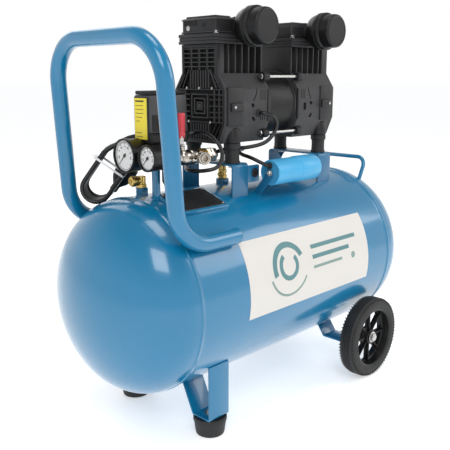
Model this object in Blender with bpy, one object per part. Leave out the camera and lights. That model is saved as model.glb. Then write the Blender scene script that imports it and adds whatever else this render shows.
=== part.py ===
"""Wheeled oil-free air compressor: twin-head motor pump on a horizontal air receiver.

Metres, +Z up. The origin is on the floor below the middle of the receiver.
+X runs to the wheel end, -Y is the side with the capacitor and the filters.
"""
import math

import bmesh
import bpy
from mathutils import Matrix, Vector

GAP = 0.0003            # clearance kept between touching pieces

# receiver
TANK_RADIUS = 0.155
TANK_CLEARANCE = 0.0713             # floor to the underside of the receiver
TANK_AXIS_Z = TANK_CLEARANCE + TANK_RADIUS
TANK_TOP_Z = TANK_AXIS_Z + TANK_RADIUS
SHELL_LENGTH = 0.5032
SHELL_END = SHELL_LENGTH / 2
HEAD_DEPTH = 0.0994
TANK_WALL = 0.0025
SEAM_WIDTH = 0.008
SEAM_HEIGHT = 0.0014
TANK_SIDES = 40

# handle and rear grip
HANDLE_TUBE = 0.025
HANDLE_WALL = 0.0015
HANDLE_HALF_WIDTH = 0.127
HANDLE_TOP_Z = TANK_TOP_Z + 0.2362
HANDLE_X = -(SHELL_END + 0.0201)
HANDLE_LEAN = 0.0658                # forward for each metre up
HANDLE_FOOT_ANGLE = math.radians(37.7)
HANDLE_FOOT_END_X = -(SHELL_END - 0.0956)
HANDLE_TOP_BEND = 0.067
HANDLE_FOOT_BEND = 0.060
GRIP_ROD = 0.008
GRIP_HALF_WIDTH = 0.0705
GRIP_TOP_Z = TANK_TOP_Z + 0.0227
GRIP_FOOT_Z = TANK_TOP_Z - 0.0313
GRIP_X = SHELL_END + 0.0354

# front legs and rubber feet
LEG_X = -(SHELL_END - 0.0731)
LEG_WIDTH = 0.043
STRIP = 0.003
LEG_OUTER_Y = TANK_RADIUS - 0.040
FOOT_HEIGHT = 0.0305
FOOT_TOP_RADIUS = 0.0275
FOOT_BOTTOM_RADIUS = 0.0235
FOOT_Y = LEG_OUTER_Y - 0.0183

# wheels
WHEEL_RADIUS = 0.0763
WHEEL_WIDTH = 0.035
WHEEL_GAP = 0.0026                  # receiver to the wheel's inner side
WHEEL_INNER_Y = WHEEL_GAP + math.sqrt(TANK_RADIUS ** 2 - (TANK_AXIS_Z - 2 * WHEEL_RADIUS) ** 2)
WHEEL_OUTER_Y = WHEEL_INNER_Y + WHEEL_WIDTH
WHEEL_X = SHELL_END - 0.0646
RIM_RADIUS = 0.056
RIM_WALL = 0.004
HUB_RADIUS = 0.015
AXLE_RADIUS = 0.006
SPOKES = 8
AXLE_PLATE_Y = WHEEL_INNER_Y - 0.008

# pump supports
BRACKET_TOP_Z = TANK_TOP_Z + 0.0422
BRACKET_HALF_WIDTH = 0.061
BRACKET_LENGTH = 0.0375
MOUNT_RADIUS = 0.013
MOUNT_Y = 0.046
MOUNT_HEIGHT = 0.033
PUMP_BASE_Z = BRACKET_TOP_Z + MOUNT_HEIGHT

# motor pump, symmetric about PUMP_X
PUMP_X = 0.039
PUMP_LENGTH = 0.290
CASE_LENGTH = 0.107
CASE_WALL = 0.005
SHAFT_Z = PUMP_BASE_Z + 0.0595
MOUNT_X = {"front": PUMP_X - 0.115, "rear": PUMP_X + 0.118}
SHAFT_RADIUS = 0.006
BODY_HALF_WIDTH = 0.058
NECK_HALF_WIDTH = 0.041
BASE_HALF_WIDTH = 0.045
BELT_LOW_Z = SHAFT_Z - 0.027
BELT_HIGH_Z = SHAFT_Z + 0.0266
NECK_LOW_Z = SHAFT_Z + 0.052
NECK_TOP_Z = SHAFT_Z + 0.0975
SLOT_HEIGHT = 0.006
SLOT_PITCH = 0.013
SLOT_HALF_WIDTH = 0.042
FIN_GAP = 0.007
FIN_PITCH = 0.0135
FIN_DEPTH = 0.008
BORE_RADIUS = 0.030
CRANK_THROW = 0.005
ECCENTRIC_RADIUS = 0.012
STATOR_RADIUS = 0.056
ROTOR_RADIUS = 0.026
FAN_RADIUS = 0.042
TIE_Y = 0.053
TIE_Z = 0.047
TIE_RADIUS = 0.003
TIE_HEAD = 0.0052
EAR = 0.014             # length of the lugs that the tie rods clamp
HEAD_TOP_Z = NECK_TOP_Z + 0.0435
PLATE_THICKNESS = 0.0155
FILTER_Z = NECK_TOP_Z + 0.0265
FILTER_START_Y = -0.0455
FILTER_RADIUS = 0.0305
FILTER_END_Y = -0.100

# capacitor
CAPACITOR_RADIUS = 0.0225
CAPACITOR_LENGTH = 0.115
CAPACITOR_START = (-0.028, -0.087, TANK_TOP_Z + 0.0257)

# control group
MANIFOLD_Z = TANK_TOP_Z + 0.0642
STUB_X = -(SHELL_END - 0.0351)
STUB_Y = -0.020
STUB_RADIUS = 0.0065
SWITCH_X = (STUB_X - 0.0092, STUB_X + 0.0675)
SWITCH_Y = (-0.020, 0.018)
SWITCH_Z = (MANIFOLD_Z + 0.0165, MANIFOLD_Z + 0.090)
GLAND_LENGTH = 0.009
SWITCH_BASE_HEIGHT = 0.016
SWITCH_WALL = 0.0025
REGULATOR_X = STUB_X + 0.0105
REGULATOR_RADIUS = 0.0148
OUTLET_Y = -0.041
OUTLET_Z = MANIFOLD_Z - 0.0045
GAUGES = {                          # middle of the face, and radius
    "tank_gauge": ((STUB_X - 0.0395, 0.009, MANIFOLD_Z + 0.0005), 0.0264),
    "outlet_gauge": ((STUB_X - 0.0359, OUTLET_Y, MANIFOLD_Z), 0.0203),
}
GAUGE_DEPTH = 0.030
VALVE_X = REGULATOR_X + 0.024
VALVE_RADIUS = 0.0118
STEM_TOP_Z = OUTLET_Z + 0.0175
COUPLER_START = Vector((VALVE_X + 0.0335, OUTLET_Y - 0.0035, OUTLET_Z - 0.0005))
COUPLER_WAY = Vector((-0.40, -0.9165, 0.0)).normalized()
SAFETY_X = STUB_X + 0.010
SAFETY_Y = 0.029
SAFETY_Z = TANK_TOP_Z + 0.020
CHECK_VALVE_X = PUMP_X - 0.0785
CHECK_VALVE_Y = 0.013
CORD_RADIUS = 0.0036
CABLE_RADIUS = 0.0032

BLUE = (0.020, 0.235, 0.465)
DARK_BLUE = (0.030, 0.190, 0.390)
SKY = (0.125, 0.546, 0.791)
BLACK = (0.036, 0.034, 0.037)
RUBBER = (0.022, 0.022, 0.021)
STEEL = (0.55, 0.54, 0.52)
CHROME = (0.60, 0.56, 0.50)
BRASS = (0.58, 0.42, 0.14)
RED = (0.58, 0.035, 0.045)
GREY = (0.10, 0.10, 0.105)


def clear_scene():
    for old in list(bpy.data.objects):
        bpy.data.objects.remove(old, do_unlink=True)


def material(name, color, roughness=0.5, metallic=0.0):
    mat = bpy.data.materials.new(name)
    mat.use_nodes = True
    shader = mat.node_tree.nodes["Principled BSDF"]
    shader.inputs["Base Color"].default_value = (*color, 1.0)
    shader.inputs["Roughness"].default_value = roughness
    shader.inputs["Metallic"].default_value = metallic
    return mat


def mesh_object(name, bm):
    bmesh.ops.recalc_face_normals(bm, faces=bm.faces)
    mesh = bpy.data.meshes.new(name)
    bm.to_mesh(mesh)
    bm.free()
    thing = bpy.data.objects.new(name, mesh)
    bpy.context.collection.objects.link(thing)
    return thing


def box(low, high):
    bm = bmesh.new()
    bmesh.ops.create_cube(bm, size=1.0)
    size = Vector(high) - Vector(low)
    middle = (Vector(high) + Vector(low)) / 2
    bmesh.ops.transform(bm, matrix=Matrix.Translation(middle) @ Matrix.Diagonal((*size, 1.0)), verts=bm.verts)
    return bm


def way_matrix(start, way):
    """Carries +Z to the direction way, from the point start."""
    return Matrix.Translation(start) @ Vector(way).to_track_quat("Z", "Y").to_matrix().to_4x4()


def turned(profile, start, way, sides=24):
    """A closed profile of (radius, height) points turned about the line through start along way."""
    bm = bmesh.new()
    rings = []
    for radius, height in profile:
        if radius < 1e-6:
            rings.append([bm.verts.new((0, 0, height))] * sides)
            continue
        angles = (2 * math.pi * (i + 0.5) / sides for i in range(sides))
        rings.append([bm.verts.new((radius * math.cos(a), radius * math.sin(a), height)) for a in angles])
    pairs = list(zip(rings, rings[1:] + rings[:1]))
    for lower, upper in pairs:
        for i in range(sides):
            j = (i + 1) % sides
            corners = list(dict.fromkeys((lower[i], lower[j], upper[j], upper[i])))
            if len(corners) > 2:
                bm.faces.new(corners)
    bm.transform(way_matrix(start, way))
    return bm


def cylinder(start, end, radius, sides=16, end_radius=None):
    start, end = Vector(start), Vector(end)
    length = (end - start).length
    far = radius if end_radius is None else end_radius
    return turned([(0, 0), (radius, 0), (far, length), (0, length)], start, end - start, sides)


def hexagon(start, end, radius):
    return cylinder(start, end, radius, 6)


def prism(outline, low, high, place):
    """An outline of (a, b) points extruded from low to high, placed by place(a, b, h)."""
    bm = bmesh.new()
    ends = [[bm.verts.new(place(a, b, h)) for a, b in outline] for h in (low, high)]
    bm.faces.new(ends[0])
    bm.faces.new(ends[1])
    for i in range(len(outline)):
        j = (i + 1) % len(outline)
        bm.faces.new((ends[0][i], ends[0][j], ends[1][j], ends[1][i]))
    return bm


def across_x(a, b, h):
    return (h, a, b)


def across_y(a, b, h):
    return (a, h, b)


def across_z(a, b, h):
    return (a, b, h)


def strip_outline(points, thickness):
    """The outline of a bent flat strip whose lower side follows the points."""
    points = [Vector(p) for p in points]
    upper = []
    for i, p in enumerate(points):
        before = (p - points[i - 1]).normalized() if i else None
        after = (points[i + 1] - p).normalized() if i + 1 < len(points) else None
        ways = [w for w in (before, after) if w is not None]
        normals = [Vector((-w.y, w.x)) for w in ways]
        middle = sum(normals, Vector((0, 0))).normalized()
        upper.append(p + middle * thickness / max(0.3, middle.dot(normals[0])))
    return [tuple(p) for p in points] + [tuple(p) for p in reversed(upper)]


def rounded_path(corners, radii, steps=6):
    """A path through the corners, with an arc of its own radius at each inner corner."""
    corners = [Vector(c) for c in corners]
    path = [corners[0]]
    for corner, before, after, radius in zip(corners[1:-1], corners[:-2], corners[2:], radii):
        first, second = (before - corner).normalized(), (after - corner).normalized()
        half = first.angle(second) / 2
        reach = radius / math.tan(half)
        centre = corner + (first + second).normalized() * radius / math.sin(half)
        start, end = corner + first * reach - centre, corner + second * reach - centre
        turn = start.angle(end)
        for i in range(steps + 1):
            t = i / steps
            path.append(
                centre + (start * math.sin((1 - t) * turn) + end * math.sin(t * turn)) / math.sin(turn)
            )
    path.append(corners[-1])
    return path


def smooth_route(points, spacing):
    """Points about spacing apart on a smooth curve through the route's points."""
    points = [Vector(p) for p in points]
    padded = [2 * points[0] - points[1], *points, 2 * points[-1] - points[-2]]
    route = []
    for a, b, c, d in zip(padded, padded[1:], padded[2:], padded[3:]):
        steps = max(1, round((c - b).length / spacing))
        for i in range(steps):
            t = i / steps
            route.append(
                0.5 * (2 * b + (c - a) * t + (2 * a - 5 * b + 4 * c - d) * t * t + (3 * b - a - 3 * c + d) * t ** 3)
            )
    route.append(points[-1])
    return route


def sweep(path, radius, sides=12, bore=0.0):
    """A round bar along the path, or a tube when it has a bore radius."""
    path = [Vector(p) for p in path]
    bm = bmesh.new()
    tangent = (path[1] - path[0]).normalized()
    side = tangent.orthogonal().normalized()
    outer, inner = [], []
    for i, p in enumerate(path):
        ahead = (path[min(i + 1, len(path) - 1)] - path[max(i - 1, 0)]).normalized()
        side = (tangent.rotation_difference(ahead) @ side).normalized()
        tangent = ahead
        other = tangent.cross(side)
        ways = [
            side * math.cos(2 * math.pi * k / sides) + other * math.sin(2 * math.pi * k / sides)
            for k in range(sides)
        ]
        outer.append([bm.verts.new(p + w * radius) for w in ways])
        if bore:
            inner.append([bm.verts.new(p + w * bore) for w in ways])
    for rings in (outer, inner):
        for lower, upper in zip(rings, rings[1:]):
            for k in range(sides):
                j = (k + 1) % sides
                bm.faces.new((lower[k], lower[j], upper[j], upper[k]))
    for end in (0, -1):
        if bore:
            for k in range(sides):
                j = (k + 1) % sides
                bm.faces.new((outer[end][k], outer[end][j], inner[end][j], inner[end][k]))
        else:
            bm.faces.new(outer[end])
    return bm


def boolean(thing, operation, shape):
    other = mesh_object("shape", shape)
    modifier = thing.modifiers.new(operation.lower(), "BOOLEAN")
    modifier.operation = operation
    modifier.solver = "MANIFOLD"     # EXACT leaves open edges where bolt holes graze a wall
    modifier.object = other
    bpy.context.view_layer.update()
    graph = bpy.context.evaluated_depsgraph_get()
    mesh = bpy.data.meshes.new_from_object(thing.evaluated_get(graph))
    thing.modifiers.clear()
    old, spare = thing.data, other.data
    thing.data = mesh
    bpy.data.objects.remove(other, do_unlink=True)
    bpy.data.meshes.remove(old)
    bpy.data.meshes.remove(spare)


def part(name, shapes, mat, cuts=(), pivot=(0, 0, 0), smooth=35):
    """One closed body: the union of the shapes without the cuts, with its origin at the pivot."""
    thing = mesh_object(name, shapes[0])
    for shape in shapes[1:]:
        boolean(thing, "UNION", shape)
    for shape in cuts:
        boolean(thing, "DIFFERENCE", shape)
    mesh = thing.data
    mesh.name = name
    pivot = Vector(pivot)
    mesh.transform(Matrix.Translation(-pivot))
    thing.location = pivot
    mesh.materials.clear()
    mesh.materials.append(material(name, *mat))
    mesh.shade_smooth()
    mesh.set_sharp_from_angle(angle=math.radians(smooth))
    return thing


def cord_curve(name, route, radius, mat):
    curve = bpy.data.curves.new(name, "CURVE")
    curve.dimensions = "3D"
    curve.bevel_depth = radius
    curve.bevel_resolution = 2
    curve.use_fill_caps = True
    curve.render_resolution_u = 0
    spline = curve.splines.new("POLY")
    spline.points.add(len(route) - 1)
    for point, place in zip(spline.points, route):
        point.co = (*place, 1.0)
    curve.materials.append(material(name, *mat))
    thing = bpy.data.objects.new(name, curve)
    bpy.context.collection.objects.link(thing)
    return thing


def tank_height(y, radius=TANK_RADIUS):
    return TANK_AXIS_Z + math.sqrt(radius ** 2 - y ** 2)


def tank_underside(y):
    return TANK_AXIS_Z - math.sqrt(TANK_RADIUS ** 2 - y ** 2)


def head_arc(radius, depth, steps=5):
    """Points of the elliptical end, from the rim to the pole."""
    angles = (math.pi / 2 * i / steps for i in range(steps + 1))
    return [(radius * math.cos(a), depth * math.sin(a)) for a in angles]


def tank_form(gap):
    """The whole outer form of the receiver, grown by gap: what sits on the receiver is cut by it."""
    half = SHELL_LENGTH / 2
    end = [(r, half + d) for r, d in head_arc(TANK_RADIUS + gap, HEAD_DEPTH + gap)][:-1]
    pole = half + HEAD_DEPTH + gap
    profile = [(0, -pole), *[(r, -h) for r, h in reversed(end)], *end, (0, pole)]
    return turned(profile, (0, 0, TANK_AXIS_Z), (1, 0, 0), TANK_SIDES)


def tank():
    half = SHELL_LENGTH / 2
    inner = TANK_RADIUS - TANK_WALL
    bead = half - SEAM_WIDTH
    crest = TANK_RADIUS + SEAM_HEIGHT
    rise, fall = 0.6 * SEAM_WIDTH, 0.3 * SEAM_WIDTH
    side = [
        (TANK_RADIUS, -bead), (TANK_RADIUS, bead), (crest, half - rise), (crest, half - fall),
        (TANK_RADIUS, half), (inner, half), (inner, -half), (TANK_RADIUS, -half),
        (crest, -half + fall), (crest, -half + rise),
    ]
    shell = turned(side, (0, 0, TANK_AXIS_Z), (1, 0, 0), TANK_SIDES)
    part("tank_shell", [shell], (BLUE, 0.28, 0.0))
    for name, way in (("tank_head_front", -1), ("tank_head_rear", 1)):
        outer = head_arc(TANK_RADIUS, HEAD_DEPTH)
        hollow = head_arc(inner, HEAD_DEPTH - TANK_WALL)
        start = (way * (half + GAP), 0, TANK_AXIS_Z)
        part(name, [turned([*outer, *reversed(hollow)], start, (way, 0, 0), TANK_SIDES)], (BLUE, 0.28, 0.0))


def handle():
    foot_radius = TANK_RADIUS + HANDLE_TUBE / 2 + 2 * GAP
    foot_y = foot_radius * math.cos(HANDLE_FOOT_ANGLE)
    foot_z = TANK_AXIS_Z + foot_radius * math.sin(HANDLE_FOOT_ANGLE)
    top_x = HANDLE_X - HANDLE_LEAN * (HANDLE_TOP_Z - foot_z)
    corners = [
        (HANDLE_FOOT_END_X, -foot_y, foot_z), (HANDLE_X, -foot_y, foot_z),
        (top_x, -HANDLE_HALF_WIDTH, HANDLE_TOP_Z), (top_x, HANDLE_HALF_WIDTH, HANDLE_TOP_Z),
        (HANDLE_X, foot_y, foot_z), (HANDLE_FOOT_END_X, foot_y, foot_z),
    ]
    bends = (HANDLE_FOOT_BEND, HANDLE_TOP_BEND, HANDLE_TOP_BEND, HANDLE_FOOT_BEND)
    tube = sweep(rounded_path(corners, bends, 4), HANDLE_TUBE / 2, 12, HANDLE_TUBE / 2 - HANDLE_WALL)
    part("main_handle", [tube], (BLUE, 0.25, 0.0))


def rear_grip():
    foot_x = GRIP_X - 0.017
    foot_y = GRIP_HALF_WIDTH - 0.0035
    corners = [
        (foot_x, -foot_y, GRIP_FOOT_Z), (GRIP_X, -GRIP_HALF_WIDTH, GRIP_TOP_Z),
        (GRIP_X, GRIP_HALF_WIDTH, GRIP_TOP_Z), (foot_x, foot_y, GRIP_FOOT_Z),
    ]
    rod = sweep(rounded_path(corners, (0.018, 0.018), 5), GRIP_ROD / 2, 10)
    part("rear_grip", [rod], (BLUE, 0.25, 0.0), [tank_form(2 * GAP)])


def front_legs():
    weld = 0.0125           # each end runs this far up before the receiver cuts it
    for side, name in ((-1, "left"), (1, "right")):
        inner, outer = LEG_OUTER_Y - 0.065, LEG_OUTER_Y + STRIP
        under = [(inner, tank_underside(inner) + weld), (LEG_OUTER_Y - 0.037, FOOT_HEIGHT + GAP),
                 (outer, FOOT_HEIGHT + GAP), (outer, tank_underside(outer) + weld)]
        outline = [(side * y, z) for y, z in strip_outline(under, STRIP)]
        bent = prism(outline, LEG_X - LEG_WIDTH / 2, LEG_X + LEG_WIDTH / 2, across_x)
        part(f"front_leg_{name}", [bent], (BLUE, 0.28, 0.0), [tank_form(2 * GAP)])
        rubber = turned(
            [(0, 0), (FOOT_BOTTOM_RADIUS - 0.002, 0), (FOOT_BOTTOM_RADIUS, 0.002),
             (FOOT_TOP_RADIUS, FOOT_HEIGHT - 0.004), (FOOT_TOP_RADIUS, FOOT_HEIGHT), (0, FOOT_HEIGHT)],
            (LEG_X, side * FOOT_Y, 0), (0, 0, 1), 28,
        )
        part(f"rubber_foot_{name}", [rubber], (RUBBER, 0.75, 0.0))


def wheel(side, name):
    inner_y = WHEEL_INNER_Y
    middle_y = inner_y + WHEEL_WIDTH / 2
    out = (0, side, 0)
    pivot = (WHEEL_X, side * middle_y, WHEEL_RADIUS)
    start = (WHEEL_X, side * inner_y, WHEEL_RADIUS)
    width, edge = WHEEL_WIDTH, 0.006
    tread = [
        (RIM_RADIUS + GAP, 0.003), (WHEEL_RADIUS - 0.008, 0.001), (WHEEL_RADIUS - 0.002, edge),
        (WHEEL_RADIUS, edge + 0.004), (WHEEL_RADIUS, width - edge - 0.004), (WHEEL_RADIUS - 0.002, width - edge),
        (WHEEL_RADIUS - 0.008, width - 0.001), (RIM_RADIUS + GAP, width - 0.003),
    ]
    part(f"tyre_{name}", [turned(tread, start, out, 32)], (RUBBER, 0.7, 0.0), pivot=pivot)
    web_low, web_high = 0.011, 0.016
    bore = AXLE_RADIUS + GAP
    dish = [
        (bore, 0.002), (HUB_RADIUS, 0.002), (HUB_RADIUS, web_low), (RIM_RADIUS - RIM_WALL, web_low),
        (RIM_RADIUS - RIM_WALL, 0.003), (RIM_RADIUS, 0.003), (RIM_RADIUS, width - 0.003),
        (RIM_RADIUS - RIM_WALL, width - 0.003), (RIM_RADIUS - RIM_WALL, web_high), (HUB_RADIUS, web_high),
        (HUB_RADIUS, width - 0.008), (bore, width - 0.008),
    ]
    holes = []
    for i in range(SPOKES):
        turn = Matrix.Rotation(2 * math.pi * i / SPOKES, 4, "Z")
        wide, narrow = 0.0125, 0.0035
        wedge = [(HUB_RADIUS + 0.005, -narrow), (RIM_RADIUS - RIM_WALL - 0.004, -wide),
                 (RIM_RADIUS - RIM_WALL - 0.004, wide), (HUB_RADIUS + 0.005, narrow)]
        hole = prism(wedge, web_low - 0.002, web_high + 0.002, across_z)
        hole.transform(way_matrix(start, out) @ turn)
        holes.append(hole)
    part(f"wheel_rim_{name}", [turned(dish, start, out, 24)], (BLACK, 0.5, 0.0), holes, pivot=pivot)


def axle(side, name):
    plate_inner = AXLE_PLATE_Y - STRIP
    inner, low_z = AXLE_PLATE_Y - 0.091, WHEEL_RADIUS - 0.0213
    under = [(inner, tank_underside(inner) + 0.0155), (AXLE_PLATE_Y - 0.065, low_z), (AXLE_PLATE_Y, low_z),
             (AXLE_PLATE_Y, WHEEL_RADIUS + 0.0217)]
    outline = [(side * y, z) for y, z in strip_outline(under, STRIP)]
    bent = prism(outline, WHEEL_X - 0.020, WHEEL_X + 0.020, across_x)
    inside = (WHEEL_X, side * (plate_inner - 0.01), WHEEL_RADIUS)
    outside = (WHEEL_X, side * (AXLE_PLATE_Y + 0.01), WHEEL_RADIUS)
    hole = cylinder(inside, outside, AXLE_RADIUS + 2 * GAP, 20)
    part(f"axle_bracket_{name}", [bent], (BLUE, 0.28, 0.0), [tank_form(2 * GAP), hole])
    inner_y = WHEEL_INNER_Y
    nut_y = WHEEL_OUTER_Y - 0.008 + 2 * GAP
    marks = [
        (0, plate_inner - 0.006), (0.010, plate_inner - 0.006), (0.010, plate_inner - GAP),
        (AXLE_RADIUS, plate_inner - GAP), (AXLE_RADIUS, AXLE_PLATE_Y + GAP), (0.010, AXLE_PLATE_Y + GAP),
        (0.010, inner_y + 0.002 - 2 * GAP), (AXLE_RADIUS, inner_y + 0.002 - 2 * GAP), (AXLE_RADIUS, nut_y),
        (0.0105, nut_y), (0.0105, nut_y + 0.0015), (0.008, nut_y + 0.0015), (0.008, nut_y + 0.0055),
        (0, nut_y + 0.0055),
    ]
    bolt = turned(marks, (WHEEL_X, 0, WHEEL_RADIUS), (0, side, 0), 12)
    part(f"axle_bolt_{name}", [bolt], (STEEL, 0.3, 1.0))


def pump_brackets():
    places = {"front": PUMP_X - PUMP_LENGTH / 2 + 0.0345, "rear": PUMP_X + PUMP_LENGTH / 2 - 0.0260}
    for name, middle in places.items():
        low, high = middle - BRACKET_LENGTH / 2, middle + BRACKET_LENGTH / 2
        half, top = BRACKET_HALF_WIDTH, BRACKET_TOP_Z
        foot = tank_height(half) - 0.006
        arch = [(-half, foot), (-half, top), (half, top), (half, foot), (half - STRIP, foot),
                (half - STRIP, top - STRIP), (-half + STRIP, top - STRIP), (-half + STRIP, foot)]
        shapes = [prism(arch, low, high, across_x)]
        if name == "front":
            shapes.append(box((high - 0.002, -half, top - 0.0335), (high + 0.0275, -half + STRIP, top - 0.005)))
        else:
            gusset = [(half - 0.001, top - 0.001), (half - 0.028, top - 0.001), (half - 0.001, top - 0.028)]
            for side in (-1, 1):
                web = [(side * y, z) for y, z in gusset]
                shapes.append(prism(web, high - STRIP, high, across_x))
        part(f"pump_bracket_{name}", shapes, (DARK_BLUE, 0.3, 0.0), [tank_form(2 * GAP)])
        mount_x = MOUNT_X[name]
        for side, label in ((-1, "left"), (1, "right")):
            bottom, top_z = BRACKET_TOP_Z + GAP, PUMP_BASE_Z - GAP
            rubber = turned(
                [(0, 0), (MOUNT_RADIUS, 0), (MOUNT_RADIUS, 0.003), (MOUNT_RADIUS - 0.0015, 0.005),
                 (MOUNT_RADIUS - 0.0015, 0.023), (MOUNT_RADIUS + 0.001, 0.025),
                 (MOUNT_RADIUS + 0.001, top_z - bottom), (0, top_z - bottom)],
                (mount_x, side * MOUNT_Y, bottom), (0, 0, 1), 14,
            )
            part(f"rubber_mount_{name}_{label}", [rubber], (RUBBER, 0.6, 0.0))


def case_outline():
    """Half outlines of the crankcase, mirrored: narrow base, wide belt and a finned neck."""
    right = [(BASE_HALF_WIDTH, PUMP_BASE_Z), (BODY_HALF_WIDTH, BELT_LOW_Z), (BODY_HALF_WIDTH, BELT_HIGH_Z),
             (NECK_HALF_WIDTH, NECK_LOW_Z), (NECK_HALF_WIDTH, NECK_TOP_Z - GAP)]
    return [(-y, z) for y, z in reversed(right)] + right


def crankcase(end, name):
    """end is -1 for the front case and 1 for the rear one."""
    def at(distance):
        return PUMP_X + end * distance

    outer, inner = PUMP_LENGTH / 2, PUMP_LENGTH / 2 - CASE_LENGTH
    cylinder_x = at(outer - CASE_LENGTH / 2)
    mount_x = MOUNT_X[name]
    shapes = [prism(case_outline(), *sorted((at(inner), at(outer))), across_x)]
    for side in (-1, 1):
        leg_end = (mount_x, side * MOUNT_Y, BELT_LOW_Z - 0.009)
        shapes.append(cylinder((mount_x, side * MOUNT_Y, PUMP_BASE_Z), leg_end, 0.014, 16))
        for lift in (-1, 1):
            ear = (side * TIE_Y, SHAFT_Z + lift * TIE_Z)
            shapes.append(cylinder((at(inner), *ear), (at(inner + EAR), *ear), 0.0075, 12))
    wall = CASE_WALL
    half = BODY_HALF_WIDTH - wall
    low_z, high_z, shoulder_z = BELT_LOW_Z + 0.002, BELT_HIGH_Z - 0.002, NECK_LOW_Z - 0.006
    base, shoulder = BASE_HALF_WIDTH - wall, NECK_HALF_WIDTH - wall - 0.002
    cavity = [(-base, PUMP_BASE_Z + wall), (-half, low_z), (-half, high_z), (-shoulder, shoulder_z),
              (shoulder, shoulder_z), (half, high_z), (half, low_z), (base, PUMP_BASE_Z + wall)]
    cuts = [
        prism(cavity, *sorted((at(inner + wall), at(outer - wall))), across_x),
        cylinder((cylinder_x, 0, NECK_LOW_Z - 0.018), (cylinder_x, 0, NECK_TOP_Z + 0.01), BORE_RADIUS, 16),
        cylinder((at(inner - 0.01), 0, SHAFT_Z), (at(inner + wall + 0.01), 0, SHAFT_Z), SHAFT_RADIUS + 0.003, 16),
    ]
    for i in range(6):
        slot = BELT_LOW_Z - 0.009 + i * SLOT_PITCH
        reach = (at(outer - wall - 0.002), at(outer + 0.01))
        cuts.append(box_between(*reach, -SLOT_HALF_WIDTH, SLOT_HALF_WIDTH, slot, slot + SLOT_HEIGHT))
    for i in range(7):
        fin_x = at(outer - 0.0145 - i * FIN_PITCH)
        for side in (-1, 1):
            low_y, high_y = sorted((side * (NECK_HALF_WIDTH - FIN_DEPTH), side * (NECK_HALF_WIDTH + 0.03)))
            low = (fin_x - FIN_GAP / 2, low_y, NECK_LOW_Z + 0.0045)
            cuts.append(box(low, (fin_x + FIN_GAP / 2, high_y, NECK_TOP_Z - 0.005)))
    for side in (-1, 1):
        for lift in (-1, 1):
            ear = (side * TIE_Y, SHAFT_Z + lift * TIE_Z)
            cuts.append(cylinder((at(inner - 0.01), *ear), (at(inner + 0.015), *ear), TIE_RADIUS + 2 * GAP, 12))
            cuts.append(cylinder((at(inner + EAR), *ear), (at(inner + EAR + 0.006), *ear), TIE_HEAD + 0.001, 12))
    part(f"crankcase_{name}", shapes, (BLACK, 0.5, 0.0), cuts, smooth=30)
    return cylinder_x


def box_between(x0, x1, y0, y1, z0, z1):
    return box((min(x0, x1), y0, z0), (max(x0, x1), y1, z1))


def head(end, name, cylinder_x):
    outer = PUMP_X + end * (PUMP_LENGTH / 2)
    inner = outer - end * CASE_LENGTH
    plate_top = NECK_TOP_Z + PLATE_THICKNESS
    low_x, high_x = sorted((outer + end * 0.005, inner))
    shapes = [
        box((low_x, -NECK_HALF_WIDTH - 0.002, NECK_TOP_Z), (high_x, NECK_HALF_WIDTH + 0.002, plate_top)),
        box((low_x + 0.008, -0.036, plate_top - 0.002), (high_x - 0.004, 0.036, HEAD_TOP_Z)),
        cylinder((cylinder_x, -0.030, FILTER_Z), (cylinder_x, FILTER_START_Y, FILTER_Z), 0.014, 24),
        cylinder((cylinder_x, 0.030, FILTER_Z), (cylinder_x, 0.0445, FILTER_Z), 0.009, 16),
    ]
    for i in range(4):
        rib = low_x + 0.016 + i * 0.025
        shapes.append(box((rib, -0.039, plate_top - 0.002), (rib + 0.006, 0.039, HEAD_TOP_Z - 0.004)))
    part(f"cylinder_head_{name}", shapes, (BLACK, 0.5, 0.0), smooth=30)
    body_y = FILTER_START_Y - GAP
    profile = [
        (0, 0), (0.021, 0), (0.026, 0.005), (FILTER_RADIUS, 0.020), (FILTER_RADIUS + 0.002, 0.021),
        (FILTER_RADIUS + 0.002, 0.033), (FILTER_RADIUS - 0.0022, 0.0345), (FILTER_RADIUS - 0.0022, 0.051),
        (FILTER_RADIUS - 0.0045, body_y - FILTER_END_Y), (0, body_y - FILTER_END_Y),
    ]
    body = turned(profile, (cylinder_x, body_y, FILTER_Z), (0, -1, 0), 20)
    part(f"intake_filter_{name}", [body], (BLACK, 0.42, 0.0))


def piston(name, cylinder_x):
    """A wobble piston: cup, rod and a big-end ring whose bore leaves room for the whole crank throw."""
    shaft_z = SHAFT_Z - CRANK_THROW
    ring_bore = ECCENTRIC_RADIUS + 2 * CRANK_THROW + 0.0015
    ring = turned(
        [(ring_bore, -0.006), (ring_bore + 0.005, -0.006), (ring_bore + 0.005, 0.006), (ring_bore, 0.006)],
        (cylinder_x, 0, shaft_z), (1, 0, 0), 16,
    )
    crown_z = NECK_TOP_Z - 2 * CRANK_THROW - 0.0015
    rod = box(
        (cylinder_x - 0.005, -0.008, shaft_z + ring_bore + 0.001), (cylinder_x + 0.005, 0.008, crown_z - 0.004)
    )
    cup = cylinder((cylinder_x, 0, crown_z - 0.009), (cylinder_x, 0, crown_z), BORE_RADIUS - 0.0012, 16)
    part(f"piston_{name}", [ring, rod, cup], (STEEL, 0.4, 1.0), pivot=(cylinder_x, 0, shaft_z))


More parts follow.
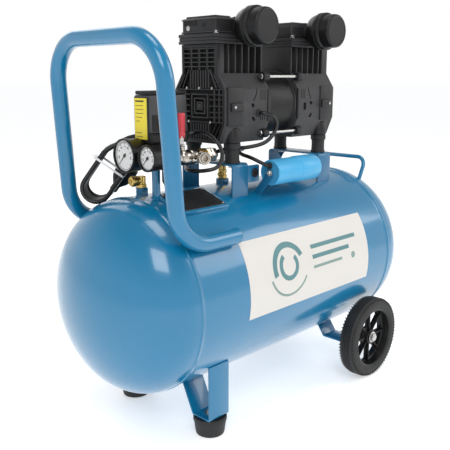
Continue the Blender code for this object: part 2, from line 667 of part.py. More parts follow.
def motor(cylinder_xs):
    inner = PUMP_LENGTH / 2 - CASE_LENGTH
    half = inner - 0.002
    stator = turned(
        [(ROTOR_RADIUS + 0.001, -half), (STATOR_RADIUS, -half), (STATOR_RADIUS, half), (ROTOR_RADIUS + 0.001, half)],
        (PUMP_X, 0, SHAFT_Z), (1, 0, 0), 32,
    )
    part("stator", [stator], (GREY, 0.5, 0.3))
    end = PUMP_LENGTH / 2 - CASE_WALL - 0.002
    core, fan, blade = half - 0.004, end - 0.009, 0.0015
    side = [(SHAFT_RADIUS, core), (SHAFT_RADIUS, fan - blade),
            (FAN_RADIUS, fan - blade), (FAN_RADIUS, fan + blade), (SHAFT_RADIUS, fan + blade),
            (SHAFT_RADIUS, end), (0, end)]
    profile = [(r, -h) for r, h in reversed(side)] + [(ROTOR_RADIUS, -core), (ROTOR_RADIUS, core)] + side
    shapes = [turned(profile, (PUMP_X, 0, SHAFT_Z), (1, 0, 0), 16)]
    for cylinder_x, throw in zip(cylinder_xs, (CRANK_THROW, -CRANK_THROW)):
        ends = [(cylinder_x + dx, 0, SHAFT_Z + throw) for dx in (-0.007, 0.007)]
        shapes.append(cylinder(*ends, ECCENTRIC_RADIUS, 16))
    part("motor_shaft", shapes, (STEEL, 0.35, 1.0), pivot=(PUMP_X, 0, SHAFT_Z))
    for side, across in ((-1, "left"), (1, "right")):
        for lift, height in ((-1, "lower"), (1, "upper")):
            reach = inner + EAR + GAP
            start = (PUMP_X - reach - 0.003, side * TIE_Y, SHAFT_Z + lift * TIE_Z)
            length = 2 * (reach + 0.003)
            rod = turned(
                [(0, 0), (TIE_HEAD, 0), (TIE_HEAD, 0.003), (TIE_RADIUS, 0.003), (TIE_RADIUS, length - 0.003),
                 (TIE_HEAD, length - 0.003), (TIE_HEAD, length), (0, length)], start, (1, 0, 0), 12,
            )
            part(f"tie_rod_{across}_{height}", [rod], (STEEL, 0.3, 1.0))


def delivery_pipe(cylinder_xs):
    port_y, run_y, z = 0.0445 + GAP, 0.0665, FILTER_Z
    low_z = TANK_TOP_Z + 0.0527
    front, rear = cylinder_xs
    crossover = sweep(
        rounded_path([(front, port_y, z), (front, run_y, z), (rear, run_y, z), (rear, port_y, z)], (0.012, 0.012), 4),
        0.0045, 10,
    )
    down = sweep(
        rounded_path(
            [(0.034, run_y, z), (0.034, run_y, low_z), (0.030, 0.026, low_z), (CHECK_VALVE_X, CHECK_VALVE_Y, low_z),
             (CHECK_VALVE_X, CHECK_VALVE_Y, low_z - 0.0255)],
            (0.015, 0.012, 0.014), 4,
        ),
        0.0045, 10,
    )
    x, y = CHECK_VALVE_X, CHECK_VALVE_Y
    check_valve = [
        cylinder((x, y, tank_height(y) - 0.004), (x, y, TANK_TOP_Z + 0.0077), 0.0115, 16),
        hexagon((x, y, TANK_TOP_Z + 0.0067), (x, y, TANK_TOP_Z + 0.0212), 0.0085),
        cylinder((x, y, TANK_TOP_Z + 0.0207), (x, y, TANK_TOP_Z + 0.0307), 0.0068),
    ]
    part("delivery_pipe", [crossover, down, *check_valve], (CHROME, 0.3, 1.0), [tank_form(2 * GAP)])


def capacitor():
    x, y, z = CAPACITOR_START
    length, radius = CAPACITOR_LENGTH, CAPACITOR_RADIUS
    step = 0.55 * length
    can = turned(
        [(0, 0), (radius - 0.003, 0), (radius - 0.001, 0.002), (radius - 0.001, step), (radius, step + 0.002),
         (radius, length - 0.002), (radius - 0.002, length), (0, length)],
        (x, y, z), (1, 0, 0), 24,
    )
    part("capacitor", [can], (SKY, 0.35, 0.0))
    plate_x = x - GAP
    foot_z = TANK_TOP_Z - 0.0093
    strap = [
        (-0.050, foot_z), (-0.064, foot_z), (y - 0.007, z - 0.006), (y - 0.007, z + 0.006), (y + 0.005, z + 0.006),
    ]
    part("capacitor_strap", [prism(strap, plate_x - STRIP, plate_x, across_x)], (DARK_BLUE, 0.3, 0.0), [tank_form(2 * GAP)])


def pressure_switch():
    (x0, x1), (y0, y1), (z0, z1) = SWITCH_X, SWITCH_Y, SWITCH_Z
    split = z0 + SWITCH_BASE_HEIGHT
    middle = ((x0 + x1) / 2, (y0 + y1) / 2)
    gland_x, gland_z = x0 + 0.0257, z0 + 0.009
    base = [
        box((x0, y0, z0), (x1, y1, split)),
        cylinder((x1 - 0.004, middle[1], gland_z), (x1 + 0.010, middle[1], gland_z), 0.006, 16),
        cylinder((gland_x, y1 - 0.004, gland_z), (gland_x, y1 + GLAND_LENGTH, gland_z), 0.006, 16),
        box((x0 + 0.012, y0 + 0.010, split - 0.002), (x1 - 0.012, y1 - 0.010, split + 0.030)),
    ]
    part("pressure_switch_base", base, (GREY, 0.5, 0.0), smooth=30)
    low, wall, top = split + GAP, SWITCH_WALL, z1
    cover = [prism(
        [(x0, low), (x1, low), (x1 - 0.003, top), (x0, top)], y0, y1, across_y)]
    cuts = [
        prism([(x0 + wall, low - 0.01), (x1 - wall, low - 0.01), (x1 - 0.003 - wall, top - wall),
               (x0 + wall, top - wall)], y0 + wall, y1 - wall, across_y),
        cylinder((middle[0], middle[1], top - 0.01), (middle[0], middle[1], top + 0.01), 0.005 + 2 * GAP, 16),
    ]
    part("pressure_switch_cover", cover, (GREY, 0.5, 0.0), cuts, smooth=30)
    knob = [
        box((x0 + 0.001, y0 + 0.0015, top + GAP), (x1 - 0.004, y1 - 0.0015, top + 0.0065)),
        cylinder((middle[0], middle[1], top - 0.010), (middle[0], middle[1], top + 0.006), 0.005, 16),
    ]
    part("switch_knob", knob, (BLACK, 0.45, 0.0), pivot=(*middle, top), smooth=30)


def control_group():
    low_x, high_x = STUB_X - 0.009, STUB_X + 0.0515
    bottom, top = MANIFOLD_Z - 0.0155, SWITCH_Z[0] - GAP
    regulator = (REGULATOR_X, OUTLET_Y)
    (gauge_x, gauge_y, gauge_z), _ = GAUGES["tank_gauge"]
    shapes = [
        box((low_x + 0.0035, -0.0255, bottom), (high_x, 0.0155, top)),
        box((REGULATOR_X - 0.009, OUTLET_Y, bottom + 0.004), (REGULATOR_X + 0.009, -0.024, top - 0.004)),
        cylinder((low_x + 0.008, gauge_y, gauge_z), (gauge_x + GAUGE_DEPTH + GAP, gauge_y, gauge_z), 0.0065, 16),
        cylinder((*regulator, bottom - 0.0015), (*regulator, top - 0.001), REGULATOR_RADIUS, 20),
        cylinder((STUB_X, STUB_Y, tank_height(STUB_Y) - 0.004), (STUB_X, STUB_Y, bottom + 0.004), STUB_RADIUS, 16),
    ]
    part("air_manifold", shapes, (BLACK, 0.45, 0.0), [tank_form(2 * GAP)])
    knob_top = bottom - 0.0015 - 2 * GAP
    knob = turned(
        [(0, 0), (0.0115, 0), (0.0125, 0.002), (0.0125, 0.022), (0.010, 0.026), (0, 0.026)],
        (REGULATOR_X, OUTLET_Y, knob_top), (0, 0, -1), 24,
    )
    part("regulator_knob", [knob], (BLACK, 0.5, 0.0), pivot=(REGULATOR_X, OUTLET_Y, knob_top))
    for name, ((x, y, z), radius) in GAUGES.items():
        lip, face = 0.0015, 0.004
        case = turned(
            [(0, face), (radius - lip, face), (radius - lip, 0), (radius, 0), (radius, 0.006),
             (radius - 0.001, 0.008), (radius - 0.001, GAUGE_DEPTH - 0.002), (radius - 0.003, GAUGE_DEPTH), (0, GAUGE_DEPTH)],
            (x, y, z), (1, 0, 0), 20,
        )
        part(name, [case], (BLACK, 0.35, 0.0))
        tip = radius * 0.62
        needle = prism(
            [(-0.0011, -0.30 * tip), (0.0011, -0.30 * tip), (0.0005, tip), (-0.0005, tip)],
            x + face - 0.0012, x + face - 0.0005, across_x,
        )
        hub = cylinder((x + face - 0.0016, 0, 0), (x + face - 0.0004, 0, 0), 0.0022, 12)
        for shape in (needle, hub):
            shape.transform(Matrix.Translation((0, y, z)) @ Matrix.Rotation(math.radians(-135), 4, "X"))
        part(f"{name}_needle", [needle, hub], (RUBBER, 0.4, 0.0), pivot=(x, y, z))


def outlet_valve():
    y, z = OUTLET_Y, OUTLET_Z
    start_x = REGULATOR_X + REGULATOR_RADIUS + GAP
    full, end_x = VALVE_RADIUS, start_x + 0.058
    along = [(0.0075, start_x), (0.0095, start_x + 0.004), (full, start_x + 0.008), (full, end_x)]
    barrel = turned(
        [(0, along[0][1]), *along, (0, along[-1][1])], (0, y, z), (1, 0, 0), 24)
    shapes = [
        barrel,
        hexagon((end_x - 0.001, y, z), (end_x + 0.019, y, z), 0.0122),
        cylinder((VALVE_X, y, z), (VALVE_X, y, STEM_TOP_Z), 0.0058, 16),
        cylinder(COUPLER_START, COUPLER_START + COUPLER_WAY * 0.028, 0.0072, 20),
    ]
    mouth = COUPLER_START + COUPLER_WAY * 0.026
    cuts = [cylinder(mouth, mouth + COUPLER_WAY * 0.01, 0.0045, 16)]
    part("outlet_valve", shapes, (CHROME, 0.25, 1.0), cuts)
    base_z = STEM_TOP_Z + GAP
    lever = [
        cylinder((VALVE_X, y, base_z), (VALVE_X, y, base_z + 0.004), 0.0052, 16),
        box((VALVE_X - 0.0045, y - 0.001, base_z + 0.002), (VALVE_X + 0.0045, y + 0.001, base_z + 0.0192)),
        box((VALVE_X - 0.0058, y - 0.0028, base_z + 0.0147), (VALVE_X + 0.0058, y + 0.0028, base_z + 0.0502)),
    ]
    part("valve_lever", lever, (RED, 0.35, 0.0), pivot=(VALVE_X, y, base_z), smooth=30)
    ring = turned(
        [(0.0072 + GAP, 0), (0.0092, 0), (0.0102, 0.002), (0.0102, 0.010), (0.0092, 0.011), (0.0072 + GAP, 0.011)],
        COUPLER_START + COUPLER_WAY * 0.016, COUPLER_WAY, 20,
    )
    part("coupler_sleeve", [ring], (CHROME, 0.25, 1.0), pivot=COUPLER_START)


def safety_valve():
    x, y, z = SAFETY_X, SAFETY_Y, SAFETY_Z
    socket_z = tank_height(y) + 0.0115
    body = [
        hexagon((x, y, tank_height(y) - 0.006), (x, y, socket_z), 0.011),
        hexagon((x, y, socket_z - 0.001), (x, y, z - 0.0053), 0.0088),
        cylinder((x, y, z - 0.0063), (x, y, z + 0.0072), 0.0072, 16),
        cylinder((x, y, z), (x - 0.0095, y, z), 0.0060, 16),
        cylinder((x, y, z), (x - 0.0215, y, z), 0.0022, 12),
    ]
    part("safety_valve", body, (BRASS, 0.3, 1.0), [tank_form(2 * GAP)])
    cap = turned(
        [(0.0022 + GAP, 0), (0.0088, 0), (0.0088, 0.010), (0.0070, 0.011), (0.0022 + GAP, 0.011)],
        (x - 0.0095 - GAP, y, z), (-1, 0, 0), 20,
    )
    part("safety_knob", [cap], (BRASS, 0.3, 1.0), pivot=(x, y, z))


def drain_screw():
    top = TANK_AXIS_Z - TANK_RADIUS - GAP
    screw = [
        cylinder((0, 0, top), (0, 0, top - 0.012), 0.0062, 16),
        box((-0.013, -0.0014, top - 0.022), (0.013, 0.0014, top - 0.009)),
    ]
    part("drain_screw", screw, (BRASS, 0.3, 1.0), pivot=(0, 0, top), smooth=30)


# routes of the cables and the mains cord
MOTOR_CABLE = [
    (-0.1385, -0.001, 0.471), (-0.1325, -0.001, 0.471), (-0.123, -0.006, 0.474), (-0.1165, -0.024, 0.475),
    (-0.1125, -0.046, 0.463), (-0.110, -0.057, 0.442), (-0.120, -0.056, 0.4225), (-0.138, -0.042, 0.4165),
    (-0.148, -0.020, 0.4165), (-0.135, 0.000, 0.421), (-0.108, 0.000, 0.432), (-0.085, -0.014, 0.4395),
    (-0.062, -0.026, 0.445), (-0.043, -0.050, 0.4475), (-0.022, -0.069, 0.455), (-0.006, -0.0755, 0.470),
    (-0.001, -0.077, 0.487), (-0.011, -0.0765, 0.499), (-0.0245, -0.0670, 0.504), (-0.025, -0.0620, 0.504),
    (-0.025, -0.0584, 0.504),
]
CAPACITOR_CABLE = [
    (-0.0285, -0.087, 0.4185), (-0.0335, -0.087, 0.4188), (-0.041, -0.081, 0.4235), (-0.0480, -0.062, 0.4315),
    (-0.047, -0.040, 0.4355), (-0.040, -0.026, 0.4405), (-0.0355, -0.020, 0.4485), (-0.0355, -0.020, 0.4561),
]
CORD_EXIT = Vector((-0.200, 0.0275, 0.471))
LEAD_BENDS = [
    (-0.2003, 0.0340, 0.4710), (-0.2018, 0.0415, 0.4706), (-0.2053, 0.0480, 0.4694), (-0.2104, 0.0535, 0.4673),
    (-0.2165, 0.0582, 0.4641),
]

# the mains cord's hank: runs side by side in one upright plane, folded round both ends
HANK_START = Vector((-0.212, 0.060, 0.4535))
HANK_LEFT = Vector((-1, 1, 0)).normalized()
HANK_TILT = math.radians(54)
HANK_ALONG = HANK_LEFT * math.cos(HANK_TILT) - Vector((0, 0, math.sin(HANK_TILT)))
HANK_ACROSS = HANK_LEFT * math.sin(HANK_TILT) + Vector((0, 0, math.cos(HANK_TILT)))
HANK_OUT = HANK_ACROSS.cross(HANK_ALONG)
HANK_LENGTH = 0.108
FOLD_RADIUS = 0.022
HANK_LAYERS = 5
LAYER_PITCH = 0.0074
PLUG_RADIUS = 0.0175


def hank_point(along, across, out):
    return HANK_START + HANK_ALONG * along + HANK_ACROSS * across + HANK_OUT * out


def cables():
    part("motor_cable", [sweep(smooth_route(MOTOR_CABLE, 0.012), CABLE_RADIUS, 8)], (RUBBER, 0.5, 0.0))
    part("capacitor_cable", [sweep(smooth_route(CAPACITOR_CABLE, 0.008), CABLE_RADIUS, 8)], (RUBBER, 0.5, 0.0))
    half = FOLD_RADIUS + CORD_RADIUS
    thick = HANK_LAYERS * LAYER_PITCH / 2
    far = HANK_LENGTH - half
    lead_end = hank_point(half - 0.0200, FOLD_RADIUS, thick - LAYER_PITCH / 2)
    lead = smooth_route([CORD_EXIT, *LEAD_BENDS, lead_end], 0.012)
    cord_curve("mains_cord", lead, CORD_RADIUS, (RUBBER, 0.5, 0.0))
    turns = [math.pi * i / 10 for i in range(11)]
    outline = [(far + half * math.sin(a), half * math.cos(a)) for a in turns]
    outline += [(half - half * math.sin(a), -half * math.cos(a)) for a in turns]
    slab = prism(outline, -thick, thick, hank_point)
    rest = -(thick + GAP + PLUG_RADIUS)
    start = -(thick - LAYER_PITCH / 2)
    tail = [hank_point(half, FOLD_RADIUS, start)]
    lift = math.pi * FOLD_RADIUS / (far - half + math.pi * FOLD_RADIUS)
    for a in turns:
        share = 1 - lift + lift * a / math.pi
        out = start + (rest - start) * (1 - math.cos(math.pi * share)) / 2
        tail.append(hank_point(far + FOLD_RADIUS * math.sin(a), FOLD_RADIUS * math.cos(a), out))
    part("mains_hank", [slab, sweep(tail, CORD_RADIUS, 8)], (RUBBER, 0.5, 0.0))
    plug_start = hank_point(far - 0.0012, -FOLD_RADIUS, rest)
    way = -HANK_ALONG
    plug = turned(
        [(0, 0), (0.0064, 0), (0.0074, 0.012), (0.0160, 0.024), (PLUG_RADIUS, 0.030),
         (PLUG_RADIUS, 0.052), (0, 0.052)],
        plug_start, way, 24,
    )
    pins = []
    for shift in (-0.0095, 0.0095):
        root = plug_start + HANK_OUT * shift
        pins.append(cylinder(root + way * 0.050, root + way * 0.071, 0.0024, 10))
    part("mains_plug", [plug, *pins], (RUBBER, 0.5, 0.0))


def build():
    clear_scene()
    tank()
    handle()
    rear_grip()
    front_legs()
    for side, name in ((-1, "left"), (1, "right")):
        wheel(side, name)
        axle(side, name)
    pump_brackets()
    cylinder_xs = [crankcase(end, name) for end, name in ((-1, "front"), (1, "rear"))]
    for end, name, cylinder_x in zip((-1, 1), ("front", "rear"), cylinder_xs):
        head(end, name, cylinder_x)
        piston(name, cylinder_x)
    motor(cylinder_xs)
    delivery_pipe(cylinder_xs)
    capacitor()
    pressure_switch()
    control_group()
    outlet_valve()
    safety_valve()
    drain_screw()
    cables()


build()
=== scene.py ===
"""Looks of the wheeled twin-head air compressor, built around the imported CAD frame.

Lengths are in metres. The origin is on the floor below the middle of the receiver: +X points to the
wheels, -Y to the side with the intake filters and the capacitor, and +Z up.
"""
import math

import bmesh
import bpy
from mathutils import Matrix, Vector


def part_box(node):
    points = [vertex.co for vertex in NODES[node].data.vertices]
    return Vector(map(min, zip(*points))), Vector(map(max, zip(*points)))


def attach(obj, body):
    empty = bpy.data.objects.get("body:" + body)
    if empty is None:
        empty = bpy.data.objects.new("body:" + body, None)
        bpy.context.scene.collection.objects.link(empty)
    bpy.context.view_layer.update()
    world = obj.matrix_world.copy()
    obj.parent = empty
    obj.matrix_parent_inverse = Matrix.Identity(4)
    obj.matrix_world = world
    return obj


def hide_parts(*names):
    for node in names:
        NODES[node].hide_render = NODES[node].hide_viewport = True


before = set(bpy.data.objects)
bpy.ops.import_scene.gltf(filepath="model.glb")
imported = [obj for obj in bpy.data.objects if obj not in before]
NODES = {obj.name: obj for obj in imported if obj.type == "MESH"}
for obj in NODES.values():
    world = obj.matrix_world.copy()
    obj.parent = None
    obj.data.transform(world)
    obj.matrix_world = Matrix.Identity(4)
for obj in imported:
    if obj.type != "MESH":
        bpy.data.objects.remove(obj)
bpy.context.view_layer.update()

X, Y, Z = Vector((1, 0, 0)), Vector((0, 1, 0)), Vector((0, 0, 1))
STRIP = 0.003                                   # steel strip of the legs and brackets
OUTLET_Y, OUTLET_Z, REGULATOR_X = -0.041, 0.441, -0.206
SAFETY_X, SAFETY_Y = -0.2065, 0.029
CHECK_X, CHECK_Y = -0.0395, 0.013               # check valve on the receiver
CAPACITOR_LEAD_END = (-0.0285, -0.087, 0.4185)


# ------------------------------------------------------------------ camera
def camera():
    """The photo's view, solved from the receiver and the wheels."""
    data = bpy.data.cameras.new("camera")
    data.lens, data.sensor_width = 52.91, 36.0
    cam = bpy.data.objects.new("camera", data)
    cam.location = (-0.857, -0.7994, 0.5633)
    cam.rotation_mode = "QUATERNION"
    cam.rotation_quaternion = Vector((0.695, 0.685, -0.2196)).to_track_quat("-Z", "Y")
    bpy.context.collection.objects.link(cam)
    bpy.context.scene.camera = cam


# ------------------------------------------------------------------ materials
def settle(node, **values):
    """Sets a node's inputs; an underscore in a name stands for a space."""
    for name, value in values.items():
        node.inputs[name.replace("_", " ")].default_value = value


def new_material(name):
    mat = bpy.data.materials.new(name)
    mat.use_nodes = True
    return mat, mat.node_tree.nodes["Principled BSDF"]


def finish_material(name, color, roughness=0.5, metallic=0.0, vary=0.08, vary_scale=30.0,
                    bump=0.05, bump_scale=600.0, coat=0.0, dust=0.0, edge=0.0, spread=0.08, specular=0.5):
    """A surface with uneven colour and gloss, a fine bump, and optional worn edges."""
    mat, shader = new_material(name)
    tree = mat.node_tree
    settle(shader, Metallic=metallic, Coat_Weight=coat, Specular_IOR_Level=specular, Coat_Roughness=0.08)
    place = tree.nodes.new("ShaderNodeTexCoord")

    def noise(scale, detail=3.0):
        node = tree.nodes.new("ShaderNodeTexNoise")
        settle(node, Scale=scale, Detail=detail)
        tree.links.new(place.outputs["Object"], node.inputs["Vector"])
        return node

    ramp = tree.nodes.new("ShaderNodeValToRGB")
    dim, bright = ramp.color_ramp.elements[:2]
    dim.position, bright.position = 0.3, 0.7
    dim.color = (*[c * (1 - vary) for c in color], 1)
    bright.color = (*[min(1, c * (1 + vary) + dust) for c in color], 1)
    tree.links.new(noise(vary_scale).outputs["Fac"], ramp.inputs["Fac"])
    tint = ramp.outputs["Color"]
    if edge:
        geometry = tree.nodes.new("ShaderNodeNewGeometry")
        worn = tree.nodes.new("ShaderNodeMapRange")
        settle(worn, From_Min=0.52, From_Max=0.62, To_Max=edge)
        tree.links.new(geometry.outputs["Pointiness"], worn.inputs["Value"])
        mix = tree.nodes.new("ShaderNodeMix")
        mix.data_type = "RGBA"
        mix.inputs["B"].default_value = (*[min(1, c * 2 + 0.08) for c in color], 1)
        tree.links.new(worn.outputs["Result"], mix.inputs["Factor"])
        tree.links.new(tint, mix.inputs["A"])
        tint = mix.outputs["Result"]
    tree.links.new(tint, shader.inputs["Base Color"])
    gloss = tree.nodes.new("ShaderNodeMapRange")
    settle(gloss, To_Min=max(0.02, roughness - spread), To_Max=min(1.0, roughness + spread))
    tree.links.new(noise(vary_scale * 2.3).outputs["Fac"], gloss.inputs["Value"])
    tree.links.new(gloss.outputs["Result"], shader.inputs["Roughness"])
    if bump:
        relief = tree.nodes.new("ShaderNodeBump")
        settle(relief, Strength=bump, Distance=0.0004)
        tree.links.new(noise(bump_scale, 2.0).outputs["Fac"], relief.inputs["Height"])
        tree.links.new(relief.outputs["Normal"], shader.inputs["Normal"])
    return mat


def glass_material():
    """Thin clear glass for the gauges, with little refraction so that the dial stays true."""
    mat, shader = new_material("lens")
    settle(shader, Base_Color=(1, 1, 1, 1), Roughness=0.03, Transmission_Weight=1.0, IOR=1.12)
    return mat


BLUE = finish_material("blue_paint", (0.002, 0.170, 0.340), 0.22, vary=0.05, vary_scale=5, bump=0.10,
                       bump_scale=260, coat=0.6, spread=0.04)
# A darker copy of the blue paint for the pump saddles and the capacitor bracket: painted shade, as these parts sit
# in shadow. The pointiness mask adds worn edges.
SHADED_BLUE = finish_material("bracket_paint", (0.004, 0.120, 0.25), 0.34, vary=0.07, vary_scale=12, bump=0.12,
                            bump_scale=300, coat=0.3, edge=0.15)
CASTING = finish_material("black_casting", (0.0070, 0.0069, 0.0082), 0.45, vary=0.16, vary_scale=40,
                          bump=0.35,
                          bump_scale=1500, edge=0.35, specular=0.32)
PLASTIC = finish_material("black_plastic", (0.0050, 0.0050, 0.0054), 0.36, vary=0.12, vary_scale=30,
                          bump=0.22,
                          bump_scale=1300, edge=0.12, specular=0.30)
GRILLE = finish_material("grille_plastic", (0.0075, 0.0075, 0.0085), 0.48, vary=0.15, vary_scale=40, bump=0.2,
                         bump_scale=1500, edge=0.3, specular=0.36)
# Near-black for thin sheets behind the fan grilles, in the head windows and in the filter inlets: painted shade in
# those hollows.
SHADE_BLACK = finish_material("painted_shade_black", (0.004, 0.004, 0.004), 0.8, bump=0.2)
RUBBER = finish_material("rubber", (0.009, 0.009, 0.009), 0.62, vary=0.2, vary_scale=25, bump=0.3,
                         bump_scale=900, dust=0.004)
TYRE = finish_material("tyre_rubber", (0.011, 0.011, 0.0105), 0.66, vary=0.25, vary_scale=18, bump=0.4,
                       bump_scale=700, dust=0.006)
CABLE = finish_material("cable_sheath", (0.006, 0.006, 0.0065), 0.32, vary=0.15, vary_scale=40, bump=0.1,
                        bump_scale=900)
STEEL = finish_material("zinc_steel", (0.50, 0.49, 0.475), 0.28, 1.0, vary=0.08, vary_scale=60, bump=0.12,
                        bump_scale=1800)
NICKEL = finish_material("nickel", (0.50, 0.455, 0.40), 0.20, 1.0, vary=0.12, vary_scale=45, bump=0.08,
                         bump_scale=1200)
BRASS = finish_material("brass", (0.58, 0.41, 0.13), 0.25, 1.0, vary=0.12, vary_scale=70, bump=0.12,
                        bump_scale=1200)
STATOR = finish_material("stator_iron", (0.009, 0.009, 0.0088), 0.42, vary=0.15, vary_scale=30, bump=0.3,
                         bump_scale=900, specular=0.4)
SKY = finish_material("sky_plastic", (0.060, 0.38, 0.66), 0.36, vary=0.05, vary_scale=20, bump=0.12,
                      bump_scale=500)
SKY_END = finish_material("sky_end", (0.045, 0.28, 0.50), 0.4, vary=0.06, vary_scale=30, bump=0.1)
RED = finish_material("red_plastic", (0.52, 0.035, 0.05), 0.3, vary=0.08, vary_scale=60, bump=0.1)
YELLOW = finish_material("yellow_film", (0.86, 0.70, 0.035), 0.38, vary=0.04, vary_scale=30, bump=0.05)
GREY = finish_material("grey_case", (0.034, 0.034, 0.037), 0.40, vary=0.06, vary_scale=20, bump=0.3,
                       bump_scale=1400, edge=0.15)
WHITE = finish_material("white_card", (0.80, 0.80, 0.80), 0.45, vary=0.02, vary_scale=30, bump=0.03)
NYLON = finish_material("nylon_tie", (0.72, 0.73, 0.72), 0.4, vary=0.04, vary_scale=80, bump=0.1)
INK = finish_material("ink", (0.012, 0.012, 0.012), 0.5, bump=0.0)
CREAM = finish_material("cream_film", (0.66, 0.635, 0.60), 0.42, vary=0.015, vary_scale=10, bump=0.05)
TEAL = finish_material("teal_ink", (0.085, 0.22, 0.235), 0.45, vary=0.05, vary_scale=20, bump=0.03)
SAGE = finish_material("sage_ink", (0.20, 0.30, 0.27), 0.45, vary=0.05, vary_scale=20, bump=0.03)
LENS = glass_material()


# ------------------------------------------------------------------ shapes
def box(low, high, round_off=0.0, steps=2):
    """A box between two corners, in any order, with its edges rounded."""
    bm = bmesh.new()
    bmesh.ops.create_cube(bm, size=1.0)
    size, middle = Vector(high) - Vector(low), (Vector(high) + Vector(low)) / 2
    size = Vector(map(abs, size))
    bmesh.ops.transform(bm, matrix=Matrix.Translation(middle) @ Matrix.Diagonal((*size, 1.0)), verts=bm.verts)
    if round_off:
        bmesh.ops.bevel(bm, geom=bm.edges[:], offset=min(round_off, 0.45 * min(size)), segments=steps,
                        profile=0.5, affect="EDGES")
    return bm


def way_matrix(start, way):
    """Moves a shape made about the Z axis to start, with Z laid along way."""
    return Matrix.Translation(start) @ Vector(way).to_track_quat("Z", "Y").to_matrix().to_4x4()


def turned(profile, start, way, sides=48):
    """A closed profile of (radius, height) points turned about the line through start along way."""
    bm = bmesh.new()
    rings = []
    for radius, height in profile:
        if radius < 1e-6:
            rings.append([bm.verts.new((0, 0, height))] * sides)
            continue
        angles = (2 * math.pi * i / sides for i in range(sides))
        rings.append([bm.verts.new((radius * math.cos(a), radius * math.sin(a), height)) for a in angles])
    for lower, upper in zip(rings, rings[1:] + rings[:1]):
        for i in range(sides):
            j = (i + 1) % sides
            corners = list(dict.fromkeys((lower[i], lower[j], upper[j], upper[i])))
            if len(corners) > 2:
                bm.faces.new(corners)
    bm.transform(way_matrix(start, way))
    return bm


def cylinder(start, end, radius, sides=32, chamfer=0.0):
    start, end = Vector(start), Vector(end)
    length = (end - start).length
    c = min(chamfer, radius * 0.4, length * 0.4)
    if c:
        profile = [(0, 0), (radius - c, 0), (radius, c), (radius, length - c), (radius - c, length),
                   (0, length)]
    else:
        profile = [(0, 0), (radius, 0), (radius, length), (0, length)]
    return turned(profile, start, end - start, sides)


def hexagon(start, end, radius):
    return cylinder(start, end, radius, 6, 0.0006)


def disc_head(radius, edge, crown, top, start, way, sides):
    """A screw head with a chamfer: a rim up to edge, then in to the crown's radius at top."""
    return turned([(0, 0), (radius, 0), (radius, edge), (crown, top), (0, top)], start, way, sides)


def around(start, way, count, make, offset=0.0):
    """Copies of a shape made about the Z axis, spaced evenly round the line through start along way."""
    shapes = []
    for i in range(count):
        shape = make()
        shape.transform(way_matrix(start, way) @ Matrix.Rotation(2 * math.pi * (i + offset) / count, 4, "Z"))
        shapes.append(shape)
    return shapes


def flutes(centre, across, radius, rod, thickness, count, sides=8):
    """Thin rods side by side round a knob: across holds the two directions across its axis."""
    rods = []
    for i in range(count):
        turn = 2 * math.pi * i / count
        foot = Vector(centre) + (across[0] * math.cos(turn) + across[1] * math.sin(turn)) * radius
        rods.append(cylinder(foot, foot + rod, thickness, sides))
    return rods


def prism(outline, low, high, place):
    """An outline of (a, b) points drawn out from low to high; place turns (a, b, h) into a point."""
    bm = bmesh.new()
    ends = [[bm.verts.new(place(a, b, h)) for a, b in outline] for h in (low, high)]
    bm.faces.new(ends[0])
    bm.faces.new(ends[1])
    for i in range(len(outline)):
        j = (i + 1) % len(outline)
        bm.faces.new((ends[0][i], ends[0][j], ends[1][j], ends[1][i]))
    return bm


def across_x(a, b, h):
    return (h, a, b)


def across_y(a, b, h):
    return (a, h, b)


def rounded_path(corners, radii, steps=12):
    """A path through corners, each rounded to its own radius."""
    corners = [Vector(c) for c in corners]
    path = [corners[0]]
    for corner, before, after, radius in zip(corners[1:-1], corners[:-2], corners[2:], radii):
        first, second = (before - corner).normalized(), (after - corner).normalized()
        half = first.angle(second) / 2
        reach = radius / math.tan(half)
        centre = corner + (first + second).normalized() * radius / math.sin(half)
        start, end = corner + first * reach - centre, corner + second * reach - centre
        turn = start.angle(end)
        for i in range(steps + 1):
            t = i / steps
            offset = (start * math.sin((1 - t) * turn) + end * math.sin(t * turn)) / math.sin(turn)
            path.append(centre + offset)
    path.append(corners[-1])
    return path


def rounded_outline(points, radii, steps=4):
    """A flat outline with rounded corners, as (a, b) points."""
    return [(p.x, p.y) for p in rounded_path([(a, b, 0) for a, b in points], radii, steps)]


def smooth_route(points, spacing):
    """A curve through the points, with points of its own about one spacing apart."""
    points = [Vector(p) for p in points]
    padded = [2 * points[0] - points[1], *points, 2 * points[-1] - points[-2]]
    route = []
    for a, b, c, d in zip(padded, padded[1:], padded[2:], padded[3:]):
        steps = max(1, round((c - b).length / spacing))
        for i in range(steps):
            t = i / steps
            route.append(0.5 * (2 * b + (c - a) * t + (2 * a - 5 * b + 4 * c - d) * t * t
                                + (3 * b - a - 3 * c + d) * t ** 3))
    route.append(points[-1])
    return route


def sweep(path, radius, sides=16):
    """A round tube along a path, with closed ends and no twist."""
    path = [Vector(p) for p in path]
    bm = bmesh.new()
    tangent = (path[1] - path[0]).normalized()
    side = tangent.orthogonal().normalized()
    rings = []
    for i, p in enumerate(path):
        ahead = (path[min(i + 1, len(path) - 1)] - path[max(i - 1, 0)]).normalized()
        side = (tangent.rotation_difference(ahead) @ side).normalized()
        tangent = ahead
        other = tangent.cross(side)
        turns = (2 * math.pi * k / sides for k in range(sides))
        rings.append([bm.verts.new(p + (side * math.cos(a) + other * math.sin(a)) * radius) for a in turns])
    for lower, upper in zip(rings, rings[1:]):
        for k in range(sides):
            j = (k + 1) % sides
            bm.faces.new((lower[k], lower[j], upper[j], upper[k]))
    bm.faces.new(rings[0])
    bm.faces.new(rings[-1])
    return bm


